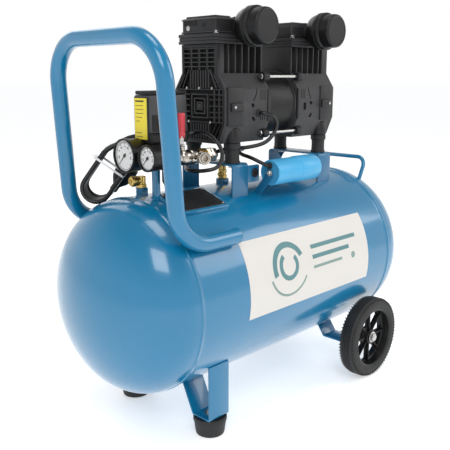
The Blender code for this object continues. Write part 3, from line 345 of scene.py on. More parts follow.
def piece(name, shapes, mat, body="frame", replaces=(), bevel=0.0, smooth=32, cuts=()):
    """One visible piece made of closed shapes, riding on a body."""
    mesh = bpy.data.meshes.new(name)
    whole = bmesh.new()
    for shape in shapes:
        bmesh.ops.recalc_face_normals(shape, faces=shape.faces)
        spare = bpy.data.meshes.new("spare")
        shape.to_mesh(spare)
        shape.free()
        whole.from_mesh(spare)
        bpy.data.meshes.remove(spare)
    whole.to_mesh(mesh)
    whole.free()
    thing = bpy.data.objects.new(name, mesh)
    bpy.context.collection.objects.link(thing)
    for cut in cuts:
        carve(thing, cut)
    if bevel:
        modifier = thing.modifiers.new("soft_edges", "BEVEL")
        modifier.width, modifier.segments = bevel, 2
        modifier.limit_method, modifier.angle_limit = "ANGLE", math.radians(35)
        apply_modifiers(thing)
    thing.data.materials.clear()
    thing.data.materials.append(mat)
    thing.data.shade_smooth()
    thing.data.set_sharp_from_angle(angle=math.radians(smooth))
    if replaces:
        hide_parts(*replaces)
    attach(thing, body)
    return thing


def apply_modifiers(thing):
    """Turns a piece's modifiers into its mesh."""
    bpy.context.view_layer.update()
    graph = bpy.context.evaluated_depsgraph_get()
    mesh = bpy.data.meshes.new_from_object(thing.evaluated_get(graph))
    thing.modifiers.clear()
    old = thing.data
    thing.data = mesh
    bpy.data.meshes.remove(old)


def carve(thing, shape):
    """Cuts a closed shape out of a piece."""
    bmesh.ops.recalc_face_normals(shape, faces=shape.faces)
    mesh = bpy.data.meshes.new("cutter")
    shape.to_mesh(mesh)
    shape.free()
    other = bpy.data.objects.new("cutter", mesh)
    bpy.context.collection.objects.link(other)
    modifier = thing.modifiers.new("cut", "BOOLEAN")
    modifier.operation, modifier.solver, modifier.object = "DIFFERENCE", "MANIFOLD", other
    apply_modifiers(thing)
    bpy.data.objects.remove(other, do_unlink=True)
    bpy.data.meshes.remove(mesh)


def keep(mat, *names):
    """CAD nodes that stay, with a finished material."""
    for name in names:
        node = NODES[name]
        node.data.materials.clear()
        node.data.materials.append(mat)


# ------------------------------------------------------------------ measures from the frame
def span(node):
    """The two corners of a CAD node's box."""
    low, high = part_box(node)
    return Vector(low), Vector(high)


def middle(node):
    """The middle of a CAD node's box."""
    low, high = span(node)
    return (low + high) / 2


SHELL_HIGH = span("tank_shell")[1]
HEAD_LOW, HEAD_HIGH = span("tank_head_rear")
TANK_R = (HEAD_HIGH.y - HEAD_LOW.y) / 2 / math.cos(math.pi / 40)
TANK_Z = (HEAD_LOW.z + HEAD_HIGH.z) / 2
SHELL_HALF = SHELL_HIGH.x
TANK_END = HEAD_HIGH.x
CASE_F_LOW, CASE_F_HIGH = span("crankcase_front")
CASE_R_HIGH = span("crankcase_rear")[1]
PUMP_X = (CASE_F_LOW.x + CASE_R_HIGH.x) / 2
PUMP_HALF = (CASE_R_HIGH.x - CASE_F_LOW.x) / 2
CASE_LENGTH = CASE_F_HIGH.x - CASE_F_LOW.x
NECK_TOP = CASE_F_HIGH.z
BASE_Z = CASE_F_LOW.z
SHAFT_Z = 0.516


def tank_z(y):
    """The height of the receiver's top surface at y."""
    return TANK_Z + math.sqrt(TANK_R ** 2 - y ** 2)


def on_tank(x, angle, lift=0.0):
    """A point of the receiver's -Y side: angle is above the horizontal through its axis."""
    r = TANK_R + lift
    return Vector((x, -r * math.cos(angle), TANK_Z + r * math.sin(angle)))


# ------------------------------------------------------------------ receiver
def receiver():
    """The shell and both heads as one skin with the girth beads, and the long seam's bead."""
    steps = 22
    depth = TANK_END - SHELL_HALF
    arc = [(TANK_R * math.cos(math.pi / 2 * i / steps), SHELL_HALF + depth * math.sin(math.pi / 2 * i / steps))
           for i in range(steps + 1)]
    bead = []
    for i in range(9):
        t = i / 8
        bead.append((TANK_R + 0.0013 * math.sin(math.pi * t), SHELL_HALF - 0.0075 + 0.0065 * t))
    shell = [(TANK_R, 0.0)] + [(TANK_R, SHELL_HALF - 0.012), *bead]
    right = shell + arc[:-1]
    left = [(r, -h) for r, h in reversed(right)]
    profile = [(0, -TANK_END), *left[:-1], *right, (0, TANK_END)]
    piece("receiver", [turned(profile, (0, 0, TANK_Z), X, 128)], BLUE,
          replaces=("tank_shell", "tank_head_front", "tank_head_rear"), smooth=50)
    reach, count = SHELL_HALF - 0.010, 150
    bead = [on_tank(-reach + 2 * reach * i / count, math.radians(118), 0.0002 * math.sin(i * 2.1) - 0.0012)
            for i in range(count + 1)]
    piece("long_weld_seam", [sweep(bead, 0.0026, 8)], BLUE, smooth=60)


def patch(x0, x1, a0, a1, lift, columns=2, rows=24, thick=0.0002):
    """A thin curved film on the receiver, between two x and two angles."""
    bm = bmesh.new()
    layers = []
    for h in (lift, lift + thick):
        layers.append([[bm.verts.new(on_tank(x0 + (x1 - x0) * i / columns, a0 + (a1 - a0) * j / rows, h))
                        for i in range(columns + 1)] for j in range(rows + 1)])
    for layer in layers:
        for j in range(rows):
            for i in range(columns):
                bm.faces.new((layer[j][i], layer[j][i + 1], layer[j + 1][i + 1], layer[j + 1][i]))
    low, high = layers
    border = [(0, i) for i in range(columns + 1)] + [(j, columns) for j in range(1, rows + 1)]
    border += [(rows, i) for i in range(columns - 1, -1, -1)] + [(j, 0) for j in range(rows - 1, 0, -1)]
    for (j, i), (k, m) in zip(border, border[1:] + border[:1]):
        bm.faces.new((low[j][i], low[k][m], high[k][m], high[j][i]))
    return bm


def ring_patch(x, angle, inner, outer, start, end, lift, steps=40):
    """A flat arc printed on the receiver round (x, angle)."""
    bm = bmesh.new()
    layers = []
    for h in (lift, lift + 0.0001):
        rims = []
        for radius in (inner, outer):
            turn = (start + (end - start) * i / steps for i in range(steps + 1))
            rims.append([bm.verts.new(on_tank(x + radius * math.cos(t), angle + radius * math.sin(t) / TANK_R, h))
                         for t in turn])
        layers.append(rims)
    (li, lo), (hi, ho) = layers
    for a, b in ((li, lo), (hi, ho), (li, hi), (lo, ho)):
        for i in range(steps):
            bm.faces.new((a[i], a[i + 1], b[i + 1], b[i]))
    for i in (0, -1):
        bm.faces.new((li[i], lo[i], ho[i], hi[i]))
    return bm


def tank_label():
    """A plain film with a generic design: arcs round one point, and bars."""
    rad = math.radians
    film = 0.0003
    arcs_x, arcs_angle, bars_x = -0.050, rad(14), 0.012

    def arc(inner, outer, start, end):
        return ring_patch(arcs_x, arcs_angle, inner, outer, rad(start), rad(end), film)

    def bar(end_x, low, high, columns):
        return patch(bars_x, end_x, rad(low), rad(high), film, columns, 3, 0.0001)

    piece("tank_label", [patch(-0.147, 0.177, rad(-11), rad(35), 0.0001, 40, 24)], CREAM,
          smooth=60)
    marks = [arc(0.030, 0.040, 20, 200), arc(0.016, 0.024, 120, 400), bar(0.142, 20, 22.6, 12),
             bar(0.118, 13.6, 16.2, 10)]
    piece("label_mark", marks, TEAL, smooth=60)
    dot = ring_patch(0.128, rad(8.5), 0.0, 0.006, 0, 2 * math.pi, film)
    piece("label_lines", [arc(0.046, 0.050, 200, 330), bar(0.094, 7.6, 9.4, 8), dot], SAGE,
          smooth=60)


# ------------------------------------------------------------------ handle, grip, legs
def handle():
    """The front handle tube with its end plugs and weld beads."""
    high = span("main_handle")[1]
    radius = 0.0125
    foot_angle = math.radians(37.7)
    ring = TANK_R + radius + 0.0006
    foot_y, foot_z = ring * math.cos(foot_angle), TANK_Z + ring * math.sin(foot_angle)
    top_z, half = high.z - radius, 0.127
    corner_x = -0.2717
    top_x = corner_x - 0.0658 * (top_z - foot_z)
    end_x = high.x
    corners = [(end_x, -foot_y, foot_z), (corner_x, -foot_y, foot_z), (top_x, -half, top_z), (top_x, half, top_z),
               (corner_x, foot_y, foot_z), (end_x, foot_y, foot_z)]
    path = rounded_path(corners, (0.060, 0.067, 0.067, 0.060), 24)
    piece("handle_tube", [sweep(path, radius, 40)], BLUE, replaces=("main_handle",), smooth=50)
    plugs, welds = [], []
    for side in (-1, 1):
        end = Vector((end_x, side * foot_y, foot_z))
        lifts = [TANK_R + 0.0009 + 0.0003 * math.sin(i * 1.9) for i in range(27)]
        plugs.append(turned([(0, -0.004), (0.0108, -0.004), (0.0122, -0.0005), (0.0122, 0.0005), (0.0105, 0.0012),
                             (0, 0.0014)], end + X * 0.0002, X, 32))
        for off in (-1, 1):
            angle = foot_angle + off * 0.043
            bead = [(end_x - 0.004 - 0.052 * i / 26, side * lift * math.cos(angle),
                     TANK_Z + lift * math.sin(angle))
                    for i, lift in enumerate(lifts)]
            welds.append(sweep(bead, 0.0022, 8))
    piece("handle_end_plugs", plugs, PLASTIC)
    piece("handle_welds", welds, BLUE, smooth=60)


def rear_grip():
    high = span("rear_grip")[1]
    radius = 0.004
    x, y, z = high.x - radius, high.y - radius, high.z - radius
    foot_x, foot_y = x - 0.017, y - 0.0035
    corners = [(foot_x, -foot_y, 0.359), (x, -y, z), (x, y, z), (foot_x, foot_y, 0.359)]
    piece("grip_rod", [sweep(rounded_path(corners, (0.018, 0.018), 12), radius, 20)], BLUE,
          replaces=("rear_grip",), smooth=50)


def strip_outline(points, thickness, radius=0.004, steps=4):
    """A bent strip with rounded bends: its lower side follows the points."""
    flat = [Vector((a, b, 0)) for a, b in points]
    path = rounded_path(flat, [radius] * (len(points) - 2), steps)
    upper = []
    for i, p in enumerate(path):
        ahead = (path[min(i + 1, len(path) - 1)] - path[max(i - 1, 0)]).normalized()
        upper.append(p + Vector((-ahead.y, ahead.x, 0)) * thickness)
    return [(p.x, p.y) for p in path] + [(p.x, p.y) for p in reversed(upper)]


def legs():
    """The two front legs with their rubber feet and bolts, and the axle plates."""
    for side, name in ((-1, "left"), (1, "right")):
        low, high = span(f"front_leg_{name}")
        base = low.z
        outer = max(abs(low.y), abs(high.y))
        under = [(0.0505, 0.0865), (0.078, base), (outer, base), (outer, 0.1235)]
        outline = [(side * y, z) for y, z in strip_outline(under, STRIP)]
        piece(f"leg_{name}", [prism(outline, low.x, high.x, across_x)], BLUE, replaces=(f"front_leg_{name}",),
              bevel=0.0006, smooth=40)
        foot_low, foot_high = span(f"rubber_foot_{name}")
        centre = middle(f"rubber_foot_{name}")
        top_r, h = (foot_high.x - foot_low.x) / 2, foot_high.z
        profile = [(0, 0), (0.0205, 0), (0.0228, 0.0008), (0.0236, 0.003), (0.0262, h - 0.009),
                   (0.0272, h - 0.0075),
                   (top_r, h - 0.006), (top_r, h - 0.0012), (top_r - 0.001, h), (0, h)]
        piece(f"foot_{name}", [turned(profile, (centre.x, centre.y, 0), Z, 64)], RUBBER,
              replaces=(f"rubber_foot_{name}",))
        under = Vector((centre.x, centre.y, base))
        seat = under + Z * STRIP
        bolt = [hexagon(seat, seat + Z * 0.005, 0.0075), cylinder(seat, seat + Z * 0.0012, 0.010, 32),
                cylinder(under, seat + Z * 0.009, 0.0036, 20, 0.0006)]
        piece(f"foot_bolt_{name}", bolt, STEEL)
        axle_low, axle_high = span(f"axle_bracket_{name}")
        plate = max(abs(axle_low.y), abs(axle_high.y))
        under = [(0.0425, 0.0885), (0.066, axle_low.z), (plate, axle_low.z), (plate, axle_high.z)]
        outline = [(side * y, z) for y, z in strip_outline(under, STRIP)]
        piece(f"axle_plate_{name}", [prism(outline, axle_low.x, axle_high.x, across_x)], BLUE,
              replaces=(f"axle_bracket_{name}",), bevel=0.0006, smooth=40)


# ------------------------------------------------------------------ wheels
def wheel(side, name):
    """A tyre with tread, a pierced rim with ribs, and the axle bolt with its nut and washers."""
    centre = middle(f"tyre_{name}")
    radius, width = 0.0763, 0.033
    start = Vector((centre.x, side * (abs(centre.y) - width / 2), centre.z))
    out = Y * side
    seat = 0.0565
    tread = [(seat, 0.002), (0.0605, 0.0005), (0.066, 0.0002), (0.0705, 0.0012), (0.0738, 0.0040),
             (0.0752, 0.0066)]
    for i in range(5):
        at = 0.0086 + i * 0.0036
        tread += [(radius, at), (radius, at + 0.0020), (radius - 0.0013, at + 0.0023),
                  (radius - 0.0013, at + 0.0031)]
    tread = [p for p in tread if p[1] < width - 0.0075]
    tread += [(radius, width - 0.0075), (0.0752, width - 0.0062), (0.0738, width - 0.0038),
              (0.0712, width - 0.0014),
              (0.0700, width - 0.0010), (0.0690, width - 0.0018), (0.0640, width - 0.0006),
              (0.0605, width - 0.0006),
              (seat, width - 0.0022)]
    body = f"wheel_{name}"
    ribs = []
    for low, high in ((0.0008, 0.0062), (width - 0.0060, width - 0.0010)):
        ribs += around(start, out, 72, lambda: box((0.0712, -0.0010, low), (0.0745, 0.0010, high), 0.0006, 1))
    piece(f"tyre_tread_{name}", [turned(tread, start, out, 128), *ribs], TYRE, body, (f"tyre_{name}",))
    rim, wall, hub = 0.056, 0.0035, 0.015
    low_web, high_web = 0.011, 0.0155
    dish = [
        (0.0064, 0.001), (hub, 0.001), (hub, low_web), (rim - wall, low_web - 0.001), (rim - wall, 0.003),
        (rim - 0.001, 0.0022), (rim + 0.0005, 0.003), (rim, 0.004), (rim, width - 0.005),
        (rim + 0.0022, width - 0.0024), (rim + 0.0012, width - 0.0012), (rim - wall, width - 0.003),
        (rim - wall - 0.0015, high_web + 0.002), (rim - wall - 0.004, high_web), (hub + 0.004, high_web),
        (hub + 0.0005, high_web + 0.001), (hub - 0.001, width - 0.0095), (hub - 0.002, width - 0.0085),
        (0.0064, width - 0.0085),
    ]
    wedge = [(hub + 0.0055, -0.0040), (hub + 0.0075, -0.0055), (rim - wall - 0.0085, -0.0150),
             (rim - wall - 0.0055, -0.0125), (rim - wall - 0.0050, 0.0), (rim - wall - 0.0055, 0.0125),
             (rim - wall - 0.0085, 0.0150), (hub + 0.0075, 0.0055), (hub + 0.0055, 0.0040)]
    spokes = 8
    holes = around(start, out, spokes,
                   lambda: prism(wedge, low_web - 0.004, high_web + 0.006, lambda a, b, h: (a, b, h)), 0.5)
    piece(f"rim_{name}", [turned(dish, start, out, 96)], PLASTIC, body, (f"wheel_rim_{name}",),
          bevel=0.0005, cuts=holes)
    rib_low, rib_high = (hub - 0.002, -0.0013, high_web - 0.001), (rim - wall, 0.0013, high_web + 0.0045)
    ribs = around(start, out, spokes, lambda: box(rib_low, rib_high, 0.0006, 1))
    piece(f"rim_ribs_{name}", ribs, PLASTIC, body)
    bolt_low, bolt_high = span(f"axle_bolt_{name}")
    end = max(abs(bolt_low.y), abs(bolt_high.y))
    turns = ((0.123, 0.1275, 0.0098, 6, 0.0006), (0.1275, end - 0.002, 0.0058, 24, 0),
             (0.1315, 0.1400, 0.0085, 24, 0.0004), (end - 0.0068, end - 0.0052, 0.0105, 40, 0.0003),
             (end - 0.0053, end - 0.0008, 0.0080, 6, 0.0007), (end - 0.002, end - 0.00005, 0.0048, 24, 0.0006))
    shapes = [cylinder((centre.x, side * y0, centre.z), (centre.x, side * y1, centre.z), *rest)
              for y0, y1, *rest in turns]
    piece(f"axle_{name}", shapes, STEEL, "frame", (f"axle_bolt_{name}",))


# ------------------------------------------------------------------ pump supports
def supports():
    """The two pump brackets, the capacitor cable's grommet and the rubber mounts."""
    for name in ("front", "rear"):
        low, high = span(f"pump_bracket_{name}")
        half, top = high.y, high.z
        length = 0.0375
        x0, x1 = (low.x, low.x + length)
        under, foot_z = half - STRIP, tank_z(half - STRIP) - 0.002
        side_z = tank_z(half) - 0.001
        inner = rounded_outline([(-under, foot_z), (-under, top - STRIP), (under, top - STRIP), (under, foot_z)],
                                (0.003, 0.003))
        outer = rounded_outline([(-half, side_z), (-half, top), (half, top), (half, side_z)], (0.006, 0.006))
        outline = inner + outer[::-1]
        shapes = [prism(outline, x0, x1, across_x)]
        if name == "front":
            tab = rounded_outline([(x1 - 0.001, 0.390), (high.x, 0.390), (high.x, 0.4185), (x1 - 0.001, 0.4185)],
                                  (0.003, 0.003))
            shapes.append(prism(tab, -half + 0.0001, -half + STRIP, across_y))
        else:
            for side in (-1, 1):
                curve = [(half - 0.001 - 0.030 * (1 - math.sin(math.pi / 2 * i / 8)),
                          top - 0.001 - 0.030 * (1 - math.cos(math.pi / 2 * i / 8))) for i in range(9)]
                web = [(side * y, z) for y, z in [(half - 0.001, top - 0.001), *curve]]
                shapes.append(prism(web, x1 - STRIP, x1 - 0.0001, across_x))
        # The saddles take the darker blue copy of the paint: painted shade.
        piece(f"saddle_{name}", shapes, SHADED_BLUE, replaces=(f"pump_bracket_{name}",),
              bevel=0.0006, smooth=40)
    tab_x, tab_z = -0.0372, 0.4055
    grommet = [turned([(0.0028, -0.004), (0.0072, -0.004), (0.0078, -0.003), (0.0078, -0.0008), (0.0060, -0.0004),
                       (0.0060, 0.0030), (0.0076, 0.0034), (0.0076, 0.0046), (0.0070, 0.0052), (0.0028, 0.0052)],
                      (tab_x, -0.0582, tab_z), -Y, 40),
               cylinder((tab_x, -0.0590, tab_z), (tab_x, -0.0612, tab_z), 0.0030, 24)]
    piece("tab_grommet", grommet, RUBBER)
    for end in ("front", "rear"):
        for side in ("left", "right"):
            low, high = span(f"rubber_mount_{end}_{side}")
            centre = middle(f"rubber_mount_{end}_{side}")
            h = high.z - low.z
            profile = [(0, 0), (0.0128, 0), (0.0133, 0.0006), (0.0133, 0.0026), (0.0124, 0.0036), (0.0120, 0.006),
                       (0.0118, h * 0.45), (0.0120, h - 0.0105), (0.0124, h - 0.0095), (0.0136, h - 0.0085),
                       (0.0140, h - 0.0070), (0.0140, h - 0.0012), (0.0132, h), (0, h)]
            piece(f"damper_{end}_{side}", [turned(profile, (centre.x, centre.y, low.z), Z, 48)], RUBBER,
                  replaces=(f"rubber_mount_{end}_{side}",))
            stud = [hexagon((centre.x, centre.y, low.z - 0.0075), (centre.x, centre.y, low.z - 0.0032), 0.0065)]
            piece(f"damper_nut_{end}_{side}", stud, STEEL)


# ------------------------------------------------------------------ motor pump
BELT_HALF, NECK_HALF, FOOT_HALF, CORE_HALF = 0.058, 0.041, 0.045, 0.0305
BELT_LOW, BELT_HIGH, NECK_LOW = 0.489, 0.5426, 0.568


def case_outline(inset=0.0, top=None):
    """The case's section in (y, z): foot, belt, and the neck when it has a top."""
    right = [(FOOT_HALF - inset, BASE_Z + inset), (BELT_HALF - inset, BELT_LOW), (BELT_HALF - inset, BELT_HIGH),
             (NECK_HALF - inset, NECK_LOW)]
    if top:
        right.append((NECK_HALF - inset, top))
    return [(-y, z) for y, z in reversed(right)] + right


def grille(at, outer):
    """The open face of a fan cover: windows, slanted bars, a square maze and slots."""
    bars = []
    front, back = outer - 0.0002, outer - 0.0060

    def bar(y0, y1, z0, z1):
        bars.append(box((at(back), y0, z0), (at(front), y1, z1), 0.0005, 1))

    thick = 0.0022
    for z in (0.5775, 0.5845, 0.5915, 0.5985, 0.6055):
        bar(-NECK_HALF + 0.004, NECK_HALF - 0.004, z, z + thick * 0.8)
    for y in (-0.0185, 0.0, 0.0185):
        bar(y - thick / 2, y + thick / 2, 0.5725, 0.6110)
    for low_z, high_z in ((BELT_HIGH + 0.001, 0.5730), (BASE_Z + 0.003, BELT_LOW)):
        for i in range(8):
            y = -0.0210 + i * 0.0060
            bar(y - thick / 2, y + thick / 2, low_z, high_z)
    for z in (0.4895, 0.4975, 0.5055, 0.5255, 0.5335, 0.5415, 0.5155):
        gap = 0.0225 if 0.497 < z < 0.534 else 0.0
        for side in (-1, 1):
            y0, y1 = sorted((side * gap, side * (BELT_HALF - 0.004)))
            bar(y0, y1, z, z + thick * 0.8)
    for y in (-0.045, -0.034, 0.034, 0.045):
        bar(y - thick / 2, y + thick / 2, 0.490, 0.5415)
    for half in (0.0055, 0.0120, 0.0185):
        z = SHAFT_Z
        for side in (-1, 1):
            bar(side * half - thick / 2, side * half + thick / 2, z - half, z + half)
            bar(-half - thick / 2, half + thick / 2, z + side * half - thick / 2, z + side * half + thick / 2)
    bar(-0.0036, 0.0036, SHAFT_Z - 0.0036, SHAFT_Z + 0.0036)
    for side in (-1, 1):
        for shift in (0.0, 0.010, 0.020):
            for (y0, z0), (y1, z1) in (((0.024 + shift, 0.574 - shift * 0.8), (0.040 + shift * 0.85, 0.5440)),
                                       ((0.023 + shift, 0.4590 + shift * 0.55), (0.040 + shift * 0.85, 0.4890))):
                if y0 > NECK_HALF - 0.001:
                    continue
                slant = Vector((0, y1 - y0, z1 - z0))
                length = slant.length
                stave = box((at(back), -thick / 2, 0), (at(front), thick / 2, length))
                turn = math.atan2(-(y1 - y0), z1 - z0)
                stave.transform(Matrix.Translation((0, y0, z0)) @ Matrix.Rotation(turn, 4, "X"))
                stave.transform(Matrix.Diagonal((1, side, 1, 1)))
                bars.append(stave)
    return bars


def frame_ring(at, outer, depth, width):
    """The rim round the open face, following the case's outline."""
    outside = case_outline(0.0, NECK_TOP)
    inside = [(y * (1 - width / max(abs(y), 0.02)), z) for y, z in outside]
    inside[0] = (inside[0][0], NECK_TOP - width)
    inside[-1] = (inside[-1][0], NECK_TOP - width)
    middle = len(inside) // 2
    inside[middle - 1] = (inside[middle - 1][0], BASE_Z + width)
    inside[middle] = (inside[middle][0], BASE_Z + width)
    bm = bmesh.new()
    loops = [[bm.verts.new((at(d), y, z)) for y, z in line] for d in (outer - depth, outer)
             for line in (outside, inside)]
    back_out, back_in, front_out, front_in = loops
    count = len(outside)
    for a, b in ((back_out, back_in), (front_out, front_in), (back_out, front_out), (back_in, front_in)):
        for i in range(count):
            j = (i + 1) % count
            bm.faces.new((a[i], a[j], b[j], b[i]))
    return bm


def crankcase(end, name):
    """One case of the pump; end is -1 for the front and 1 for the rear."""
    def at(distance):
        return PUMP_X + end * distance

    def run(first, second):
        return sorted((at(first), at(second)))

    outer, inner = PUMP_HALF, PUMP_HALF - CASE_LENGTH
    deep = 0.0065
    mount_x = middle(f"rubber_mount_{name}_left").x
    body = prism(case_outline(), *run(inner, outer - deep), across_x)
    cuts = []
    for side in (-1, 1):
        def slot_cut(a0, a1, z0, z1, depth=0.004):
            cuts.append(box((at(a0), side * (BELT_HALF - depth), z0), (at(a1), side * (BELT_HALF + 0.01), z1)))

        def round_cut(a, z, radius, stretch=0.0, tilt=0.0):
            for shift in ((-stretch, 0.0, stretch) if stretch else (0.0,)):
                spot = (at(a + shift * math.sin(tilt)), side * (BELT_HALF - 0.006), z + shift * math.cos(tilt))
                cuts.append(cylinder(spot, Vector(spot) + Y * side * 0.02, radius, 20))

        for i in range(3):
            base = inner + 0.010 + i * 0.0050
            slot_cut(base, base + 0.0017, 0.5245, 0.5415)
            if name == "front":
                slot_cut(base, base + 0.0017, 0.4925, 0.5070)
        round_cut(inner + 0.040, 0.5165, 0.0036)
        round_cut(inner + 0.0385, 0.4945, 0.0026, 0.0022, 0.8)
        if name == "rear":
            round_cut(inner + 0.022, 0.5110, 0.0040, 0.0030)
        for i in range(7):
            t = i / 6
            a, z = inner + 0.0300 + 0.0075 * t * t, 0.5425 - 0.0175 * t
            slot_cut(a, a + 0.0018, z - 0.0020, z + 0.0020)
    piece(f"case_body_{name}", [body], CASTING, replaces=(f"crankcase_{name}",),
          bevel=0.0012, cuts=cuts)

    def slab(half, base, a0, a1):
        outline = [(-half, base), (half, base), (half, NECK_TOP), (-half, NECK_TOP)]
        return prism(outline, *run(a0, a1), across_x)

    more = [slab(CORE_HALF, NECK_LOW - 0.004, inner + 0.002, outer - deep - 0.004),
            slab(NECK_HALF, NECK_LOW - 0.001, inner, inner + 0.0035),
            slab(NECK_HALF, NECK_LOW - 0.001, outer - 0.0165, outer - 0.0005 - deep)]
    fin_z = BELT_HIGH + 0.013
    fin = [(-NECK_HALF, fin_z), (-NECK_HALF, NECK_TOP), (NECK_HALF, NECK_TOP), (NECK_HALF, fin_z)]
    for i in range(5):
        a = inner + 0.0160 + i * 0.0158
        more.append(prism(fin, *run(a, a + 0.0026), across_x))
    for side in (-1, 1):
        for a0, a1, in_y, out_y, z0, z1, soft, steps in (
                (outer - 0.042, outer - deep, -0.002, 0.0022, 0.4850, 0.5465, 0.0015, 2),
                (outer - 0.0400, outer - 0.0120, 0.001, 0.0060, 0.5080, 0.5215, 0.0015, 2),
                (inner, inner + 0.0040, -0.003, 0.0018, 0.4890, 0.5430, 0.0008, 1)):
            more.append(box((at(a0), side * (BELT_HALF + in_y), z0), (at(a1), side * (BELT_HALF + out_y), z1),
                            soft, steps))
        low_boss = Vector((mount_x, side * 0.046, BASE_Z + 0.0002))
        more.append(turned([(0, 0), (0.0132, 0), (0.0142, 0.001), (0.0142, 0.012), (0.0110, 0.024), (0, 0.030)],
                           low_boss, Z, 32))
        for tilt in (-1, 1):
            rib = prism([(0.000, 0.004), (0.012, 0.004), (0.016, 0.036), (0.010, 0.038)], -0.0016, 0.0016,
                        lambda a, b, h, s=side, k=tilt: (mount_x + k * 0.010 + h, s * (0.034 + a), BASE_Z + b))
            more.append(rib)
        for lift in (-1, 1):
            ear = Vector((0, side * 0.053, SHAFT_Z + lift * 0.047))
            start, stop = ear + X * at(inner), ear + X * at(inner + 0.014)
            more.append(cylinder(start, stop, 0.0075, 32, 0.0008))
            foot = Vector((0, side * 0.044, SHAFT_Z + lift * 0.038))
            more.append(sweep([ear + X * at(inner + 0.006), foot + X * at(inner + 0.006)], 0.0048, 12))
    piece(f"case_fins_{name}", more, CASTING, bevel=0.0005)
    piece(f"fan_cover_rim_{name}", [frame_ring(at, outer, deep + 0.001, 0.0055)], CASTING,
          bevel=0.0007)
    piece(f"fan_grille_{name}", grille(at, outer), GRILLE)
    void = prism(case_outline(0.003, NECK_TOP - 0.003), *run(outer - deep - 0.0005, outer - deep + 0.0002),
                 across_x)
    piece(f"fan_shadow_{name}", [void], SHADE_BLACK)
    screws = []
    for side in (-1, 1):
        spot = Vector((at(outer - 0.0190), side * (BELT_HALF + 0.0060), 0.5150))
        screws.append(turned([(0, 0), (0.0028, 0), (0.0028, 0.0010), (0.0018, 0.0018), (0, 0.0019)], spot,
                             Y * side, 24))
    for y, z in ((-0.0255, 0.4905), (0.0255, 0.4905), (0.0, 0.5445), (-0.0295, 0.5445), (0.0295, 0.5445)):
        spot = Vector((at(outer - 0.0004), y, z))
        screws.append(disc_head(0.0022, 0.0006, 0.0014, 0.0012, spot, X * end, 20))
    piece(f"cover_screws_{name}", screws, STEEL)


